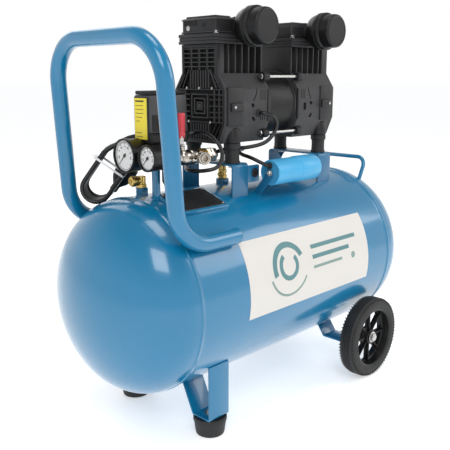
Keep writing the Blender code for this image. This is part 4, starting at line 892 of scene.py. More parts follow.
def cylinder_head(end, name):
    """One head with its base plates, painted shade in its windows, bolts, and its intake filter."""
    low, high = span(f"cylinder_head_{name}")
    filter_low, filter_high = span(f"intake_filter_{name}")
    cx, _, z_filter = middle(f"intake_filter_{name}")
    bottom, top = low.z, high.z
    x0, x1 = low.x, high.x
    half = 0.043
    out_x, in_x = (x0, x1) if end < 0 else (x1, x0)
    shapes = []
    for z0, z1, grow in ((0.0, 0.0048, 0.0), (0.0052, 0.0098, -0.0008), (0.0102, 0.0155, 0.0)):
        shapes.append(box((x0 - grow, -half - grow, bottom + z0), (x1 + grow, half + grow, bottom + z1), 0.0009,
                          2))
    shapes.append(box((x0 + 0.002, -half + 0.002, bottom + 0.001), (x1 - 0.002, half - 0.002, bottom + 0.014)))
    deck = bottom + 0.0150
    shapes.append(box((x0 + 0.006, -0.038, deck), (x1 - 0.003, 0.038, top - 0.0075), 0.002, 3))
    towards = -end
    front0, front1 = out_x + towards * 0.005, out_x + towards * 0.048
    shapes.append(box((front0, -0.0385, deck), (front1, 0.0385, top - 0.0035), 0.0022, 3))
    ledge = box((front0 - towards * 0.0012, -0.0395, top - 0.0070), (front1, 0.0395, top - 0.0048), 0.0007, 1)
    sill = box((front0 - towards * 0.0012, -0.0395, deck + 0.0015), (front1, 0.0395, deck + 0.0040), 0.0007, 1)
    shapes += [ledge, sill]
    shapes.append(box((front0 + towards * 0.004, -0.034, top - 0.008),
                      (front1 - towards * 0.004, 0.034, top - 0.0002),
                      0.0016, 2))
    for i in range(6):
        x = front1 + towards * (0.006 + i * 0.0085)
        shapes.append(box((x, -0.0365, deck + 0.006), (x + towards * 0.0024, 0.0365, top - 0.0012), 0.0006, 1))
    for y in (-0.0375, 0.0355):
        shapes.append(box((front1, y, deck + 0.006), (in_x - towards * 0.004, y + 0.002, top - 0.0016), 0.0006, 1))
    neck = Vector((cx, -0.030, z_filter))
    shapes.append(turned([(0, 0), (0.0170, 0), (0.0150, 0.010), (0.0142, 0.0150), (0, 0.0155)], neck, -Y, 40))
    port = Vector((cx, 0.030, z_filter))
    shapes.append(cylinder(port, port + Y * 0.0143, 0.0088, 32, 0.0008))
    piece(f"head_casting_{name}", shapes, CASTING, replaces=(f"cylinder_head_{name}",))
    # Thin near-black discs and boxes on the head's front and sides: painted shade in its windows and port.
    eye = (front0 + towards * 0.0002, -0.012, deck + 0.014)
    dark = [turned([(0, 0), (0.0034, 0), (0.0034, 0.0008), (0, 0.0008)], eye, X * end, 24),
            box((front0 - towards * 0.0004, 0.004, top - 0.0150), (front0 + towards * 0.001, 0.034, top - 0.0072))]
    for side in (-1, 1):
        for i in range(4):
            x = front0 + towards * (0.0035 + i * 0.0105)
            dark.append(box((x, side * 0.0380, top - 0.0150), (x + towards * 0.0078, side * 0.0388, top - 0.0072)))
    piece(f"head_window_shade_{name}", dark, SHADE_BLACK)
    bolts = []
    rows = ((x0 + 0.007, 0.0385), (x1 - 0.007, 0.0385), (front1 + towards * 0.004, 0.0405))
    for x, y in ((x, side * y) for x, y in rows for side in (-1, 1)):
        base = Vector((x, y, bottom + 0.0155))
        bolts.append(turned([(0, 0), (0.0042, 0), (0.0042, 0.0008), (0, 0.0008)], base, Z, 24))
        bolts.append(hexagon(base + Z * 0.0007, base + Z * 0.0042, 0.0034))
    badge = Vector((front0, 0.024, deck + 0.010))
    bolts.append(disc_head(0.0040, 0.0006, 0.0026, 0.0012, badge, X * end, 24))
    piece(f"head_bolts_{name}", bolts, STEEL)
    r = (filter_high.z - filter_low.z) / 2
    base_y = filter_high.y
    length = filter_high.y - filter_low.y
    profile = [(0, 0), (0.0165, 0), (0.0205, 0.0012), (0.0262, 0.0060), (0.0288, 0.0120), (0.0300, 0.0185),
               (0.0306, 0.0200), (r - 0.0006, 0.0204), (r - 0.0002, 0.0212), (r - 0.0002, 0.0256),
               (r - 0.0010, 0.0262), (r - 0.0010, 0.0272), (r - 0.0002, 0.0278), (r - 0.0002, 0.0326),
               (r - 0.0010, 0.0336), (0.0296, 0.0342), (0.0286, 0.0350), (0.0285, length - 0.0060),
               (0.0278, length - 0.0022), (0.0262, length - 0.0004), (0.0240, length), (0.0235, length - 0.0006),
               (0, length - 0.0006)]
    can = turned(profile, (cx, base_y, z_filter), -Y, 96)
    piece(f"filter_can_{name}", [can], PLASTIC, replaces=(f"intake_filter_{name}",),
          smooth=40)
    # A thin near-black disc under the can: painted shade in the inlet hole.
    drip = Vector((cx - 0.012, base_y - 0.0336, z_filter - 0.0290))
    piece(f"filter_inlet_shade_{name}", [cylinder(drip, drip - Y * 0.0012, 0.0022, 16)], SHADE_BLACK)


def motor():
    """The stator between the cases and the four tie rods."""
    low, high = span("stator")
    r = (high.z - low.z) / 2
    bore, edge, count = 0.0275, 0.0055, 30
    profile = [(bore, 0), (r - 0.004, 0), (r - 0.001, 0.002)]
    length = high.x - low.x
    step = (length - 2 * edge) / count
    for i in range(count):
        at = edge + i * step
        profile += [(r, at), (r, at + 0.72 * step), (r - 0.00035, at + 0.80 * step),
                    (r - 0.00035, at + 0.94 * step)]
    profile += [(r - 0.001, length - 0.002), (r - 0.004, length), (bore, length)]
    piece("stator_stack", [turned(profile, (low.x, 0, SHAFT_Z), X, 96)], STATOR, replaces=("stator",),
          smooth=60)
    ring = [(bore, 0), (r + 0.0012, 0), (r + 0.0012, 0.0035), (r - 0.001, 0.0042), (bore, 0.0042)]
    ends = [turned(ring, (x, 0, SHAFT_Z), X * way, 96) for x, way in ((low.x, 1), (high.x, -1))]
    piece("stator_end_rings", ends, CASTING)
    for side in ("left", "right"):
        for lift in ("lower", "upper"):
            node = f"tie_rod_{side}_{lift}"
            low, high = span(node)
            _, y, z = middle(node)
            shapes = [cylinder((low.x + 0.001, y, z), (high.x - 0.001, y, z), 0.0029, 24)]
            for x, way in ((low.x, 1), (high.x, -1)):
                shapes.append(cylinder((x + way * 0.0002, y, z), (x + way * 0.0029, y, z), 0.0050, 6, 0.0005))
            piece(f"stay_{side}_{lift}", shapes, STEEL, replaces=(node,))
    keep(STEEL, "motor_shaft", "piston_front", "piston_rear")


def delivery_pipe():
    high = span("delivery_pipe")[1]
    front, rear = [middle(f"intake_filter_{n}").x for n in ("front", "rear")]
    z, run_y, port_y = high.z - 0.0045, high.y - 0.0045, 0.0447
    over = rounded_path([(front, port_y, z), (front, run_y, z), (rear, run_y, z), (rear, port_y, z)],
                        (0.012, 0.012), 10)
    x, y, drop_x, low_z = CHECK_X, CHECK_Y, 0.034, 0.434
    down = rounded_path([(drop_x, run_y, z), (drop_x, run_y, low_z), (0.030, 0.026, low_z), (x, y, low_z),
                         (x, y, 0.4085)], (0.015, 0.012, 0.014), 10)
    piece("delivery_tube", [sweep(over, 0.0043, 24), sweep(down, 0.0043, 24)], STEEL, replaces=("delivery_pipe",),
          smooth=50)
    nuts = [hexagon((cx, port_y, z), (cx, port_y + 0.0095, z), 0.0080) for cx in (front, rear)]
    nuts.append(hexagon((drop_x, run_y, z - 0.013), (drop_x, run_y, z - 0.006), 0.0072))
    for base, top_z, radius in ((0.3885, 0.3950, 0.0085), (0.3985, 0.4040, 0.0080)):
        nuts.append(hexagon((x, y, base), (x, y, top_z), radius))
    nuts.append(cylinder((x, y, 0.3940), (x, y, 0.3995), 0.0068, 32))
    nuts.append(cylinder((x, y, 0.4035), (x, y, 0.4118), 0.0066, 32, 0.0008))
    nuts.append(cylinder((x, y, 0.397), (x - 0.0130, y - 0.004, 0.397), 0.0030, 20, 0.0004))
    piece("check_valve_body", nuts, BRASS)
    socket = [cylinder((x, y, tank_z(y) - 0.004), (x, y, 0.3888), 0.0113, 40, 0.0008)]
    piece("check_valve_socket", socket, BLUE)


# ------------------------------------------------------------------ capacitor and cables
def capacitor():
    """The run capacitor with the bracket and nut that hold it."""
    low, high = span("capacitor")
    y, z, r = (low.y + high.y) / 2, (low.z + high.z) / 2, (high.z - low.z) / 2
    length = high.x - low.x
    step = 0.55 * length
    profile = [(0, 0.0015), (r - 0.0040, 0.0015), (r - 0.0036, 0.0002), (r - 0.0022, 0), (r - 0.0012, 0.0012),
               (r - 0.0010, 0.0030), (r - 0.0010, step - 0.0006), (r - 0.0006, step), (r, step + 0.0012),
               (r, length - 0.0030), (r - 0.0010, length - 0.0008), (r - 0.0030, length), (0, length)]
    piece("capacitor_can", [turned(profile, (low.x, y, z), X, 96)], SKY, replaces=("capacitor",),
          smooth=40)
    cap = [turned([(0, 0.0018), (r - 0.0045, 0.0018), (r - 0.0045, 0.0008), (0, 0.0006)], (low.x, y, z), X, 64)]
    piece("capacitor_end", cap, SKY_END)
    strap_low, strap_high = span("capacitor_strap")
    outline = [(-0.052, tank_z(0.055) - 0.002), (-0.066, tank_z(0.066) - 0.001), (-0.094, z - 0.007),
               (-0.095, z - 0.001), (-0.093, z + 0.004), (-0.088, z + 0.006), (-0.083, z + 0.005),
               (-0.081, z - 0.001)]
    # The bracket takes the darker blue copy of the paint: painted shade.
    piece("capacitor_bracket", [prism(outline, strap_low.x + 0.001, strap_high.x, across_x)], SHADED_BLUE,
          replaces=("capacitor_strap",), bevel=0.0006)
    nut = Vector((strap_low.x + 0.001, -0.088, z - 0.0005))
    piece("capacitor_nut", [hexagon(nut, nut - X * 0.0042, 0.0048),
                            cylinder(nut, nut - X * 0.0064, 0.0024, 20, 0.0004),
                            cylinder(nut, nut - X * 0.0010, 0.0060, 32)], STEEL)


MOTOR_CABLE = [
    (-0.1385, -0.001, 0.471), (-0.1325, -0.001, 0.471), (-0.123, -0.006, 0.474), (-0.1165, -0.024, 0.475),
    (-0.1125, -0.046, 0.463), (-0.110, -0.057, 0.442), (-0.120, -0.056, 0.4225), (-0.138, -0.042, 0.4165),
    (-0.148, -0.020, 0.4165), (-0.135, 0.000, 0.421), (-0.108, 0.000, 0.432), (-0.085, -0.014, 0.4395),
    (-0.062, -0.026, 0.445), (-0.043, -0.050, 0.4475), (-0.022, -0.069, 0.455), (-0.006, -0.0755, 0.470),
    (-0.001, -0.077, 0.487), (-0.011, -0.0765, 0.499), (-0.0245, -0.0670, 0.504), (-0.025, -0.0620, 0.504),
    (-0.025, -0.0584, 0.504),
]
CAPACITOR_CABLE = [
    CAPACITOR_LEAD_END, (-0.0335, -0.087, 0.4188), (-0.041, -0.081, 0.4235), (-0.0480, -0.062, 0.4315),
    (-0.047, -0.040, 0.4355), (-0.040, -0.026, 0.4405), (-0.0355, -0.020, 0.4485), (-0.0355, -0.020, 0.4561),
]


def cables():
    """The motor cable and the capacitor cable, both held at their two ends."""
    piece("motor_lead", [sweep(smooth_route(MOTOR_CABLE, 0.0035), 0.0032, 20)], CABLE, replaces=("motor_cable",),
          smooth=60)
    piece("capacitor_lead", [sweep(smooth_route(CAPACITOR_CABLE, 0.003), 0.0031, 20)], CABLE,
          replaces=("capacitor_cable",), smooth=60)
    exit_point = Vector((-0.025, -0.0580, 0.504))
    rings = [turned([(0.0030, -0.002), (0.0060, -0.002), (0.0062, 0.0012), (0.0048, 0.0026), (0.0030, 0.0028)],
                    exit_point, -Y, 32),
             turned([(0.0030, -0.002), (0.0050, -0.002), (0.0048, 0.0022), (0.0038, 0.0030), (0.0030, 0.0030)],
                    Vector(CAPACITOR_LEAD_END) + X * 0.0001, -X, 32)]
    piece("cable_grommets", rings, RUBBER)


# ------------------------------------------------------------------ mains cord
CORD_D = 0.0072
CORD_EXIT = Vector((-0.200, 0.0275, 0.471))
LEAD_BENDS = [
    (-0.2003, 0.0340, 0.4710), (-0.2018, 0.0415, 0.4706), (-0.2053, 0.0480, 0.4694), (-0.2104, 0.0535, 0.4673),
    (-0.2165, 0.0582, 0.4641),
]
HANK_START = Vector((-0.212, 0.060, 0.4535))
HANK_LEFT = Vector((-1, 1, 0)).normalized()
HANK_TILT = math.radians(54)
HANK_ALONG = HANK_LEFT * math.cos(HANK_TILT) - Z * math.sin(HANK_TILT)
HANK_ACROSS = HANK_LEFT * math.sin(HANK_TILT) + Z * math.cos(HANK_TILT)
HANK_OUT = HANK_ACROSS.cross(HANK_ALONG)
HANK_LENGTH = 0.108
FOLD_RADIUS = 0.022
HANK_LAYERS = 5
LAYER_PITCH = 0.0074
PLUG_RADIUS = 0.0175


def hank_point(along, across, out):
    return HANK_START + HANK_ALONG * along + HANK_ACROSS * across + HANK_OUT * out


def hank_route():
    """Four turns and a last run and fold, which lifts off the back of the hank to its plug."""
    near = FOLD_RADIUS + CORD_D / 2
    far = HANK_LENGTH - near
    fold = math.pi * FOLD_RADIUS
    straight = far - near
    thick = HANK_LAYERS * LAYER_PITCH / 2
    front = thick - LAYER_PITCH / 2
    turn = [(near + straight * i / 8, FOLD_RADIUS) for i in range(8)]
    turn += [(far + FOLD_RADIUS * math.sin(a), FOLD_RADIUS * math.cos(a))
             for a in (math.pi * i / 12 for i in range(12))]
    turn += [(far - straight * i / 8, -FOLD_RADIUS) for i in range(8)]
    turn += [(near - FOLD_RADIUS * math.sin(a), -FOLD_RADIUS * math.cos(a))
             for a in (math.pi * i / 12 for i in range(12))]
    points = []
    for layer in range(HANK_LAYERS - 1):
        for i, (along, across) in enumerate(turn):
            points.append(hank_point(along, across, front - LAYER_PITCH * (layer + i / len(turn))))
    rest = -(thick + PLUG_RADIUS + 0.0003)
    last = turn[:20] + [(far, -FOLD_RADIUS)]
    walked = [straight * i / 8 for i in range(8)] + [straight + fold * i / 12 for i in range(13)]
    for (along, across), s in zip(last, walked):
        share = s / (straight + fold)
        points.append(hank_point(along, across, -front + (rest + front) * (1 - math.cos(math.pi * share)) / 2))
    return points, hank_point(far - 0.0012, -FOLD_RADIUS, rest)


def plug_pieces(start):
    """The plug at the cord's far end: guessed, as the photo hides it."""
    way = -HANK_ALONG
    profile = [(0, 0), (0.0046, 0), (0.0056, 0.003), (0.0060, 0.010), (0.0072, 0.013), (0.0135, 0.0215),
               (0.0158, 0.0265), (0.0170, 0.030), (PLUG_RADIUS - 0.0003, 0.034), (PLUG_RADIUS - 0.0001, 0.0500),
               (PLUG_RADIUS - 0.0012, 0.0518), (0, 0.0518)]
    ribs = [turned([(0.0040, h), (0.0068, h), (0.0068, h + 0.0015), (0.0040, h + 0.0015)], start, way, 40)
            for h in (0.002, 0.0050, 0.0080)]
    grips = flutes(start + way * 0.034, (HANK_ACROSS, HANK_OUT), PLUG_RADIUS - 0.0006, way * 0.0145, 0.0006, 18)
    plug = piece("plug_body", [turned(profile, start, way, 48), *ribs, *grips], RUBBER, replaces=("mains_plug",))
    pins = []
    for shift in (-0.0095, 0.0095):
        base = start + way * 0.0515 + HANK_OUT * shift
        pins.append(turned([(0, 0), (0.0024, 0), (0.0024, 0.0178), (0.0014, 0.0193), (0, 0.0193)], base, way, 20))
    return [plug, piece("plug_pins", pins, STEEL)]


def cord_tie():
    """A nylon strap round the whole hank, near its upper end, with its head on the outer side."""
    along = 0.040
    reach, depth = FOLD_RADIUS + CORD_D / 2 + 0.0007, HANK_LAYERS * LAYER_PITCH / 2 + 0.0006
    corners = [(reach, depth), (-reach, depth), (-reach, -depth), (reach, -depth)]
    ring = []
    for i, (across, out) in enumerate(corners):
        before, after = Vector(corners[i - 1]), Vector(corners[(i + 1) % 4])
        here = Vector((across, out))
        for k in range(7):
            t = k / 6
            start, end = here + (before - here).normalized() * 0.004, here + (after - here).normalized() * 0.004
            ring.append(start * (1 - t) ** 2 + here * 2 * t * (1 - t) + end * t * t)
    inner = [p * 0.985 for p in ring]
    strap = bmesh.new()
    rows = []
    for p, q in zip(ring, inner):
        rows.append([strap.verts.new(hank_point(along + shift, *spot))
                     for spot, shift in ((p, -0.0018), (p, 0.0018), (q, 0.0018), (q, -0.0018))])
    for row, following in zip(rows, rows[1:] + rows[:1]):
        for k in range(4):
            strap.faces.new((row[k], row[(k + 1) % 4], following[(k + 1) % 4], following[k]))
    head = box((-0.0032, -0.0032, 0), (0.0032, 0.0032, 0.0052), 0.0008)
    head.transform(way_matrix(hank_point(along, reach - 0.0006, depth * 0.62), HANK_ACROSS))
    tail = box((-0.0016, -0.0006, 0), (0.0016, 0.0006, 0.006), 0.0003)
    tail.transform(way_matrix(hank_point(along, reach + 0.003, depth * 0.62), HANK_ACROSS + HANK_OUT * 0.5))
    piece("cord_tie", [strap, head, tail], NYLON)


def mains_cord():
    """One cord from the switch's gland through the hank to the plug."""
    folded, plug_start = hank_route()
    route = smooth_route([CORD_EXIT, *LEAD_BENDS, *folded], 0.006)
    cord = piece("mains_lead", [sweep(route, CORD_D / 2, 14)], CABLE,
                 replaces=("mains_cord", "mains_hank"), smooth=60)
    plug = plug_pieces(plug_start)
    gland = Vector((CORD_EXIT.x, CORD_EXIT.y - 0.0095, CORD_EXIT.z))
    relief = [turned([(0.0030, 0), (0.0062, 0), (0.0062, 0.0040), (0.0050, 0.0055), (0.0046, 0.0095),
                      (0.0037, 0.0097)], gland, Y, 32)]
    piece("cord_gland", relief, PLASTIC)
    cord_tie()


# ------------------------------------------------------------------ controls
def pressure_switch():
    """Base, cover, knob and a warning film with generic bars."""
    low, high = span("pressure_switch_cover")
    x0, x1, y0, y1 = low.x, high.x, low.y, high.y
    z0, split, top = span("pressure_switch_base")[0].z, low.z, high.z
    base = [box((x0, y0, z0), (x1, y1, split + 0.0004), 0.0016, 3),
            box((x0 + 0.004, y0 - 0.0006, z0 + 0.003), (x1 - 0.004, y0 + 0.004, split - 0.002), 0.0006, 1)]
    piece("switch_base", base, PLASTIC, replaces=("pressure_switch_base",))
    gland = Vector((x1 - 0.002, (y0 + y1) / 2, 0.471))
    piece("switch_gland", [turned([(0.0033, 0), (0.0066, 0), (0.0066, 0.006), (0.0050, 0.0075), (0.0044, 0.0118),
                                   (0.0033, 0.0120)], gland, X, 32)], PLASTIC)
    slope = [(x0 + 0.0004, split + 0.0006), (x1, split + 0.0006), (x1 - 0.003, top), (x0 + 0.0004, top)]
    cover = prism(slope, y0, y1, across_y)
    piece("switch_cover", [cover], GREY, replaces=("pressure_switch_cover",), bevel=0.0022)
    dark = prism([(x0 + 0.004, split + 0.003), (x0 + 0.030, split + 0.003), (x0 + 0.030, split + 0.028),
                  (x0 + 0.004, split + 0.028)], y0 - 0.0006, y0 + 0.002, across_y)
    piece("switch_terminal_cover", [dark], PLASTIC, bevel=0.0005)
    knob_low, knob_high = span("switch_knob")
    knob = [box((knob_low.x, knob_low.y, top + 0.0004), (knob_high.x, knob_high.y, knob_high.z), 0.0022, 4),
            cylinder(((x0 + x1) / 2, (y0 + y1) / 2, top - 0.008), ((x0 + x1) / 2, (y0 + y1) / 2, top + 0.002),
                     0.0048)]
    piece("switch_button", knob, PLASTIC, "switch_knob", ("switch_knob",))
    frame_plate = box((x0 - 0.0008, y0 + 0.003, z0 + 0.0035), (x0 + 0.001, y1 - 0.0015, top - 0.003), 0.0004, 1)
    piece("switch_label_frame", [frame_plate], PLASTIC)
    left = y1 - 0.0055
    label = box((x0 - 0.0011, y0 + 0.006, z0 + 0.0075), (x0 - 0.0006, y1 - 0.0030, top - 0.0045))
    piece("switch_label", [label], YELLOW)
    lines = []
    for i, share in enumerate((0.9, 0.8, 0.85, 0.85, 0.7, 0.45, 0.0, 0.0, 0.65, 0.7)):
        z = top - 0.0100 - i * 0.0058
        tall = 0.0008 if i else 0.0022
        if share:
            lines.append(box((x0 - 0.0013, left - 0.022 * share, z), (x0 - 0.0010, left, z + tall)))
    piece("switch_label_lines", lines, INK)


DIAL_START, DIAL_END, DIAL_STEPS = -135, 135, 40      # degrees from straight up, and marks


def gauges():
    """Cases, dials with generic marks, pointers on their own bodies, and lenses."""
    for name in ("tank_gauge", "outlet_gauge"):
        low, high = span(name)
        (_, y, z), r = middle(name), (high.z - low.z) / 2
        depth = high.x - low.x
        start = Vector((low.x, y, z))
        profile = [(0, 0.0046), (r - 0.0028, 0.0046), (r - 0.0028, 0.0012), (r - 0.0022, 0.0003),
                   (r - 0.0012, 0.0),
                   (r - 0.0002, 0.0008), (r, 0.0020), (r, 0.0056), (r - 0.0006, 0.0064), (r - 0.0010, 0.0075),
                   (r - 0.0010, depth - 0.0030), (r - 0.0022, depth - 0.0008), (r - 0.0042, depth), (0, depth)]
        piece(f"{name}_case", [turned(profile, start, X, 96)], PLASTIC, replaces=(name,),
              smooth=40)
        dial = turned([(0, 0.0038), (r - 0.0029, 0.0038), (r - 0.0029, 0.0047), (0, 0.0047)], start, X, 64)
        piece(f"{name}_dial", [dial], WHITE)
        face = low.x + 0.0038
        marks = []
        def put(shape, turn):
            shape.transform(Matrix.Translation((0, y, z)) @ Matrix.Rotation(math.radians(turn), 4, "X"))
            return shape

        for i in range(DIAL_STEPS + 1):
            t = DIAL_START + (DIAL_END - DIAL_START) * i / DIAL_STEPS
            major = i % 5 == 0
            inner, outer = r * (0.66 if major else 0.72), r * 0.79
            wide = 0.0005 if major else 0.0002
            marks.append(put(box((face - 0.00025, -wide, inner), (face + 0.0001, wide, outer)), t))
            if major and 0 < i < DIAL_STEPS:
                for k in range(1 + (i // 5) % 2):
                    shift = k * 0.0024 - 0.0008
                    marks.append(put(box((face - 0.00025, shift - 0.0008, r * 0.50),
                                         (face + 0.0001, shift + 0.0008, r * 0.58)), t))
        arc = turned([(r * 0.795, face - low.x - 0.0002), (r * 0.815, face - low.x - 0.0002),
                      (r * 0.815, face - low.x + 0.0001), (r * 0.795, face - low.x + 0.0001)], start, X, 64)
        marks.append(arc)
        piece(f"{name}_scale", marks, INK)
        body = f"{name}_needle"
        tip = r * 0.66
        blade = prism([(-0.0011, -0.26 * tip), (0.0011, -0.26 * tip), (0.0009, 0.0), (0.0002, tip), (-0.0002, tip),
                       (-0.0009, 0.0)], face - 0.0012, face - 0.0007, across_x)
        hub = turned([(0, 0), (0.0024, 0), (0.0026, 0.0004), (0.0026, 0.0010), (0, 0.0010)],
                     (face - 0.0016, 0, 0), X, 32)
        pointer = [put(shape, DIAL_START) for shape in (blade, hub)]
        piece(f"{name}_pointer", pointer, INK, body, (body,))
        lens = turned([(0, 0.0012), (r - 0.0029, 0.0017), (r - 0.0029, 0.0022), (0, 0.0018)], start, X, 64)
        piece(f"{name}_lens", [lens], LENS)


def manifold():
    """The block below the switch with the regulator, the gauges' stems and the feed pipe."""
    gauge_x, out_x = span("tank_gauge")[1].x, span("outlet_gauge")[1].x
    (_, gy, gz), (_, oy, oz) = middle("tank_gauge"), middle("outlet_gauge")
    top, bottom = span("air_manifold")[1].z, 0.430
    reg_x, reg_y = REGULATOR_X, OUTLET_Y
    shapes = [
        box((-0.2220, -0.0255, bottom), (-0.165, 0.0155, top), 0.003, 3),
        cylinder((gauge_x - 0.0004, gy, gz), (-0.2175, gy, gz), 0.0064, 32, 0.0005),
        turned([(0, 0), (0.0120, 0), (0.0145, 0.0025), (0.0148, 0.004), (0.0148, 0.0095), (0.0138, 0.0105),
                (0.0138, 0.0135), (0.0148, 0.0145), (0.0148, 0.0270), (0.0135, 0.0305), (0.0090, 0.0325),
                (0, 0.033)],
               (reg_x, reg_y, bottom - 0.0013), Z, 48),
        box((reg_x - 0.009, reg_y, bottom + 0.004), (reg_x + 0.009, -0.024, top - 0.004), 0.002, 2),
    ]
    piece("manifold_block", shapes, PLASTIC, replaces=("air_manifold",))
    stems = [hexagon((out_x - 0.0003, oy, oz), (reg_x - 0.0120, oy, oz), 0.0058),
             hexagon((gauge_x - 0.0002, gy, gz), (-0.2222, gy, gz), 0.0078),
             hexagon((-0.1660, -0.005, 0.446), (-0.1590, -0.005, 0.446), 0.0085),
             cylinder((-0.1600, -0.005, 0.446), (-0.1560, -0.005, 0.446), 0.0050, 24, 0.0005)]
    piece("gauge_stems", stems, BRASS)
    x, y = -0.2165, -0.020
    stub = [cylinder((x, y, tank_z(y) - 0.002), (x, y, bottom + 0.003), 0.0064, 40),
            turned([(0, 0), (0.0098, 0), (0.0084, 0.002), (0.0066, 0.0042), (0, 0.0042)],
                   (x, y, tank_z(y) - 0.0012), Z, 40)]
    piece("manifold_pipe", stub, BLUE)
    kx, ky, _ = middle("regulator_knob")
    knob_z = span("regulator_knob")[1].z
    profile = [(0, 0), (0.0112, 0), (0.0118, 0.0015), (0.0118, 0.0215), (0.0100, 0.0255), (0, 0.0258)]
    grips = flutes((kx, ky, knob_z - 0.002), (X, Y), 0.0116, Z * -0.019, 0.0009, 20)
    piece("regulator_grip", [turned(profile, (kx, ky, knob_z), -Z, 48), *grips], PLASTIC, "regulator_knob",
          ("regulator_knob",))


def outlet():
    """The ball valve with its upright lever and the quick coupler."""
    low, high = span("outlet_valve")
    y, z = OUTLET_Y, OUTLET_Z
    x0 = low.x
    r = 0.0117
    profile = [(0, 0), (0.0078, 0), (0.0082, 0.0035), (0.0096, 0.0045), (r, 0.0080), (r, 0.0215),
               (r - 0.0005, 0.0222), (r - 0.0005, 0.0230), (r, 0.0237), (r, 0.0385), (r - 0.0010, 0.0400),
               (0.0098, 0.0405), (0.0098, 0.0425), (0, 0.0425)]
    nut = [(0, 0.0420)]
    for i in range(6):
        h = 0.0422 + i * 0.0025
        nut += [(0.0102, h), (0.0115, h + 0.0006), (0.0115, h + 0.0018), (0.0102, h + 0.0024)]
    nut += [(0, 0.0574)]
    piece("valve_nut", [turned(nut, (x0, y, z), X, 64)], BRASS, smooth=40)
    vx = middle("valve_lever").x
    start = Vector((-0.1485, -0.0445, 0.4405))
    way = Vector((-0.40, -0.9165, 0.0)).normalized()
    throat = [(0, 0), (0.0088, 0), (0.0088, 0.0105), (0.0070, 0.0125), (0.0070, 0.0268), (0.0066, 0.0279),
              (0.0050, 0.0279), (0.0046, 0.0270), (0.0044, 0.0180), (0, 0.0180)]
    shapes = [
        turned(profile, (x0, y, z), X, 64),
        hexagon((x0 + 0.0570, y, z), (x0 + 0.0640, y, z), 0.0120),
        cylinder((x0 + 0.0630, y, z), (x0 + 0.0680, y, z), 0.0095, 40, 0.0006),
        hexagon((x0 + 0.0670, y, z), (high.x - 0.0003, y, z), 0.0118),
        cylinder((vx, y, z + 0.009), (vx, y, 0.4530), 0.0070, 6, 0.0005),
        cylinder((vx, y, 0.4520), (vx, y, 0.4586), 0.0050, 32, 0.0006),
        turned(throat, start, way, 48),
    ]
    piece("ball_valve", shapes, NICKEL, replaces=("outlet_valve",), smooth=40)
    sleeve = [(0.0076, 0.0002), (0.0092, 0.0002), (0.0100, 0.0012), (0.0102, 0.0022), (0.0096, 0.0030),
              (0.0096, 0.0038), (0.0102, 0.0046), (0.0102, 0.0092), (0.0096, 0.0106), (0.0090, 0.0109),
              (0.0076, 0.0109)]
    piece("coupler_collar", [turned(sleeve, start + way * 0.016, way, 64)], NICKEL, "coupler_sleeve",
          ("coupler_sleeve",), smooth=40)
    base = 0.4590
    steel = [cylinder((vx, y, base), (vx, y, base + 0.0032), 0.0052, 6, 0.0005),
             box((vx - 0.0042, y - 0.0009, base + 0.0020), (vx + 0.0042, y + 0.0009, 0.4800), 0.0005, 1)]
    piece("lever_tang", steel, STEEL, "valve_lever", ("valve_lever",))
    grip = [box((vx - 0.0058, y - 0.0030, 0.4740), (vx + 0.0058, y + 0.0030, 0.5090), 0.0016, 3),
            *[box((vx + side * 0.0028, y - 0.0040, 0.4800), (vx + side * 0.0046, y + 0.0040, 0.5050), 0.0006, 1)
              for side in (-1, 1)],
            *[box((vx + side * 0.0022, y - 0.0026, 0.4710), (vx + side * 0.0050, y + 0.0026, 0.4760), 0.0008, 1)
              for side in (-1, 1)]]
    piece("lever_grip", grip, RED, "valve_lever")


def safety_valve():
    """The safety valve on its socket, with a knurled pull knob."""
    stem_x = span("safety_valve")[0].x
    knob_low, knob_high = span("safety_knob")
    x, y, z = SAFETY_X, SAFETY_Y, middle("safety_knob").z
    shapes = [
        hexagon((x, y, tank_z(y) + 0.0110), (x, y, 0.3960), 0.0088),
        cylinder((x, y, 0.3950), (x, y, 0.4085), 0.0070, 40, 0.0010),
        cylinder((x, y, z), (x - 0.0095, y, z), 0.0058, 32, 0.0004),
        cylinder((x, y, z), (stem_x, y, z), 0.0021, 20, 0.0003),
    ]
    piece("relief_valve", shapes, BRASS, replaces=("safety_valve",))
    piece("relief_socket", [hexagon((x, y, tank_z(y) - 0.005), (x, y, tank_z(y) + 0.0113), 0.0108)], BLUE)
    length = knob_high.x - knob_low.x
    r = (knob_high.z - knob_low.z) / 2
    cap = [turned([(0.0026, 0), (r - 0.0008, 0), (r - 0.0003, 0.0008), (r - 0.0003, length - 0.0020),
                   (r - 0.0016, length), (0.0026, length)], (knob_high.x, y, z), -X, 48)]
    cap += flutes((knob_high.x - 0.001, y, z), (Y, Z), r - 0.0005, X * (0.0032 - length), 0.0005, 28, 6)
    piece("relief_knob", cap, BRASS, "safety_knob", ("safety_knob",))


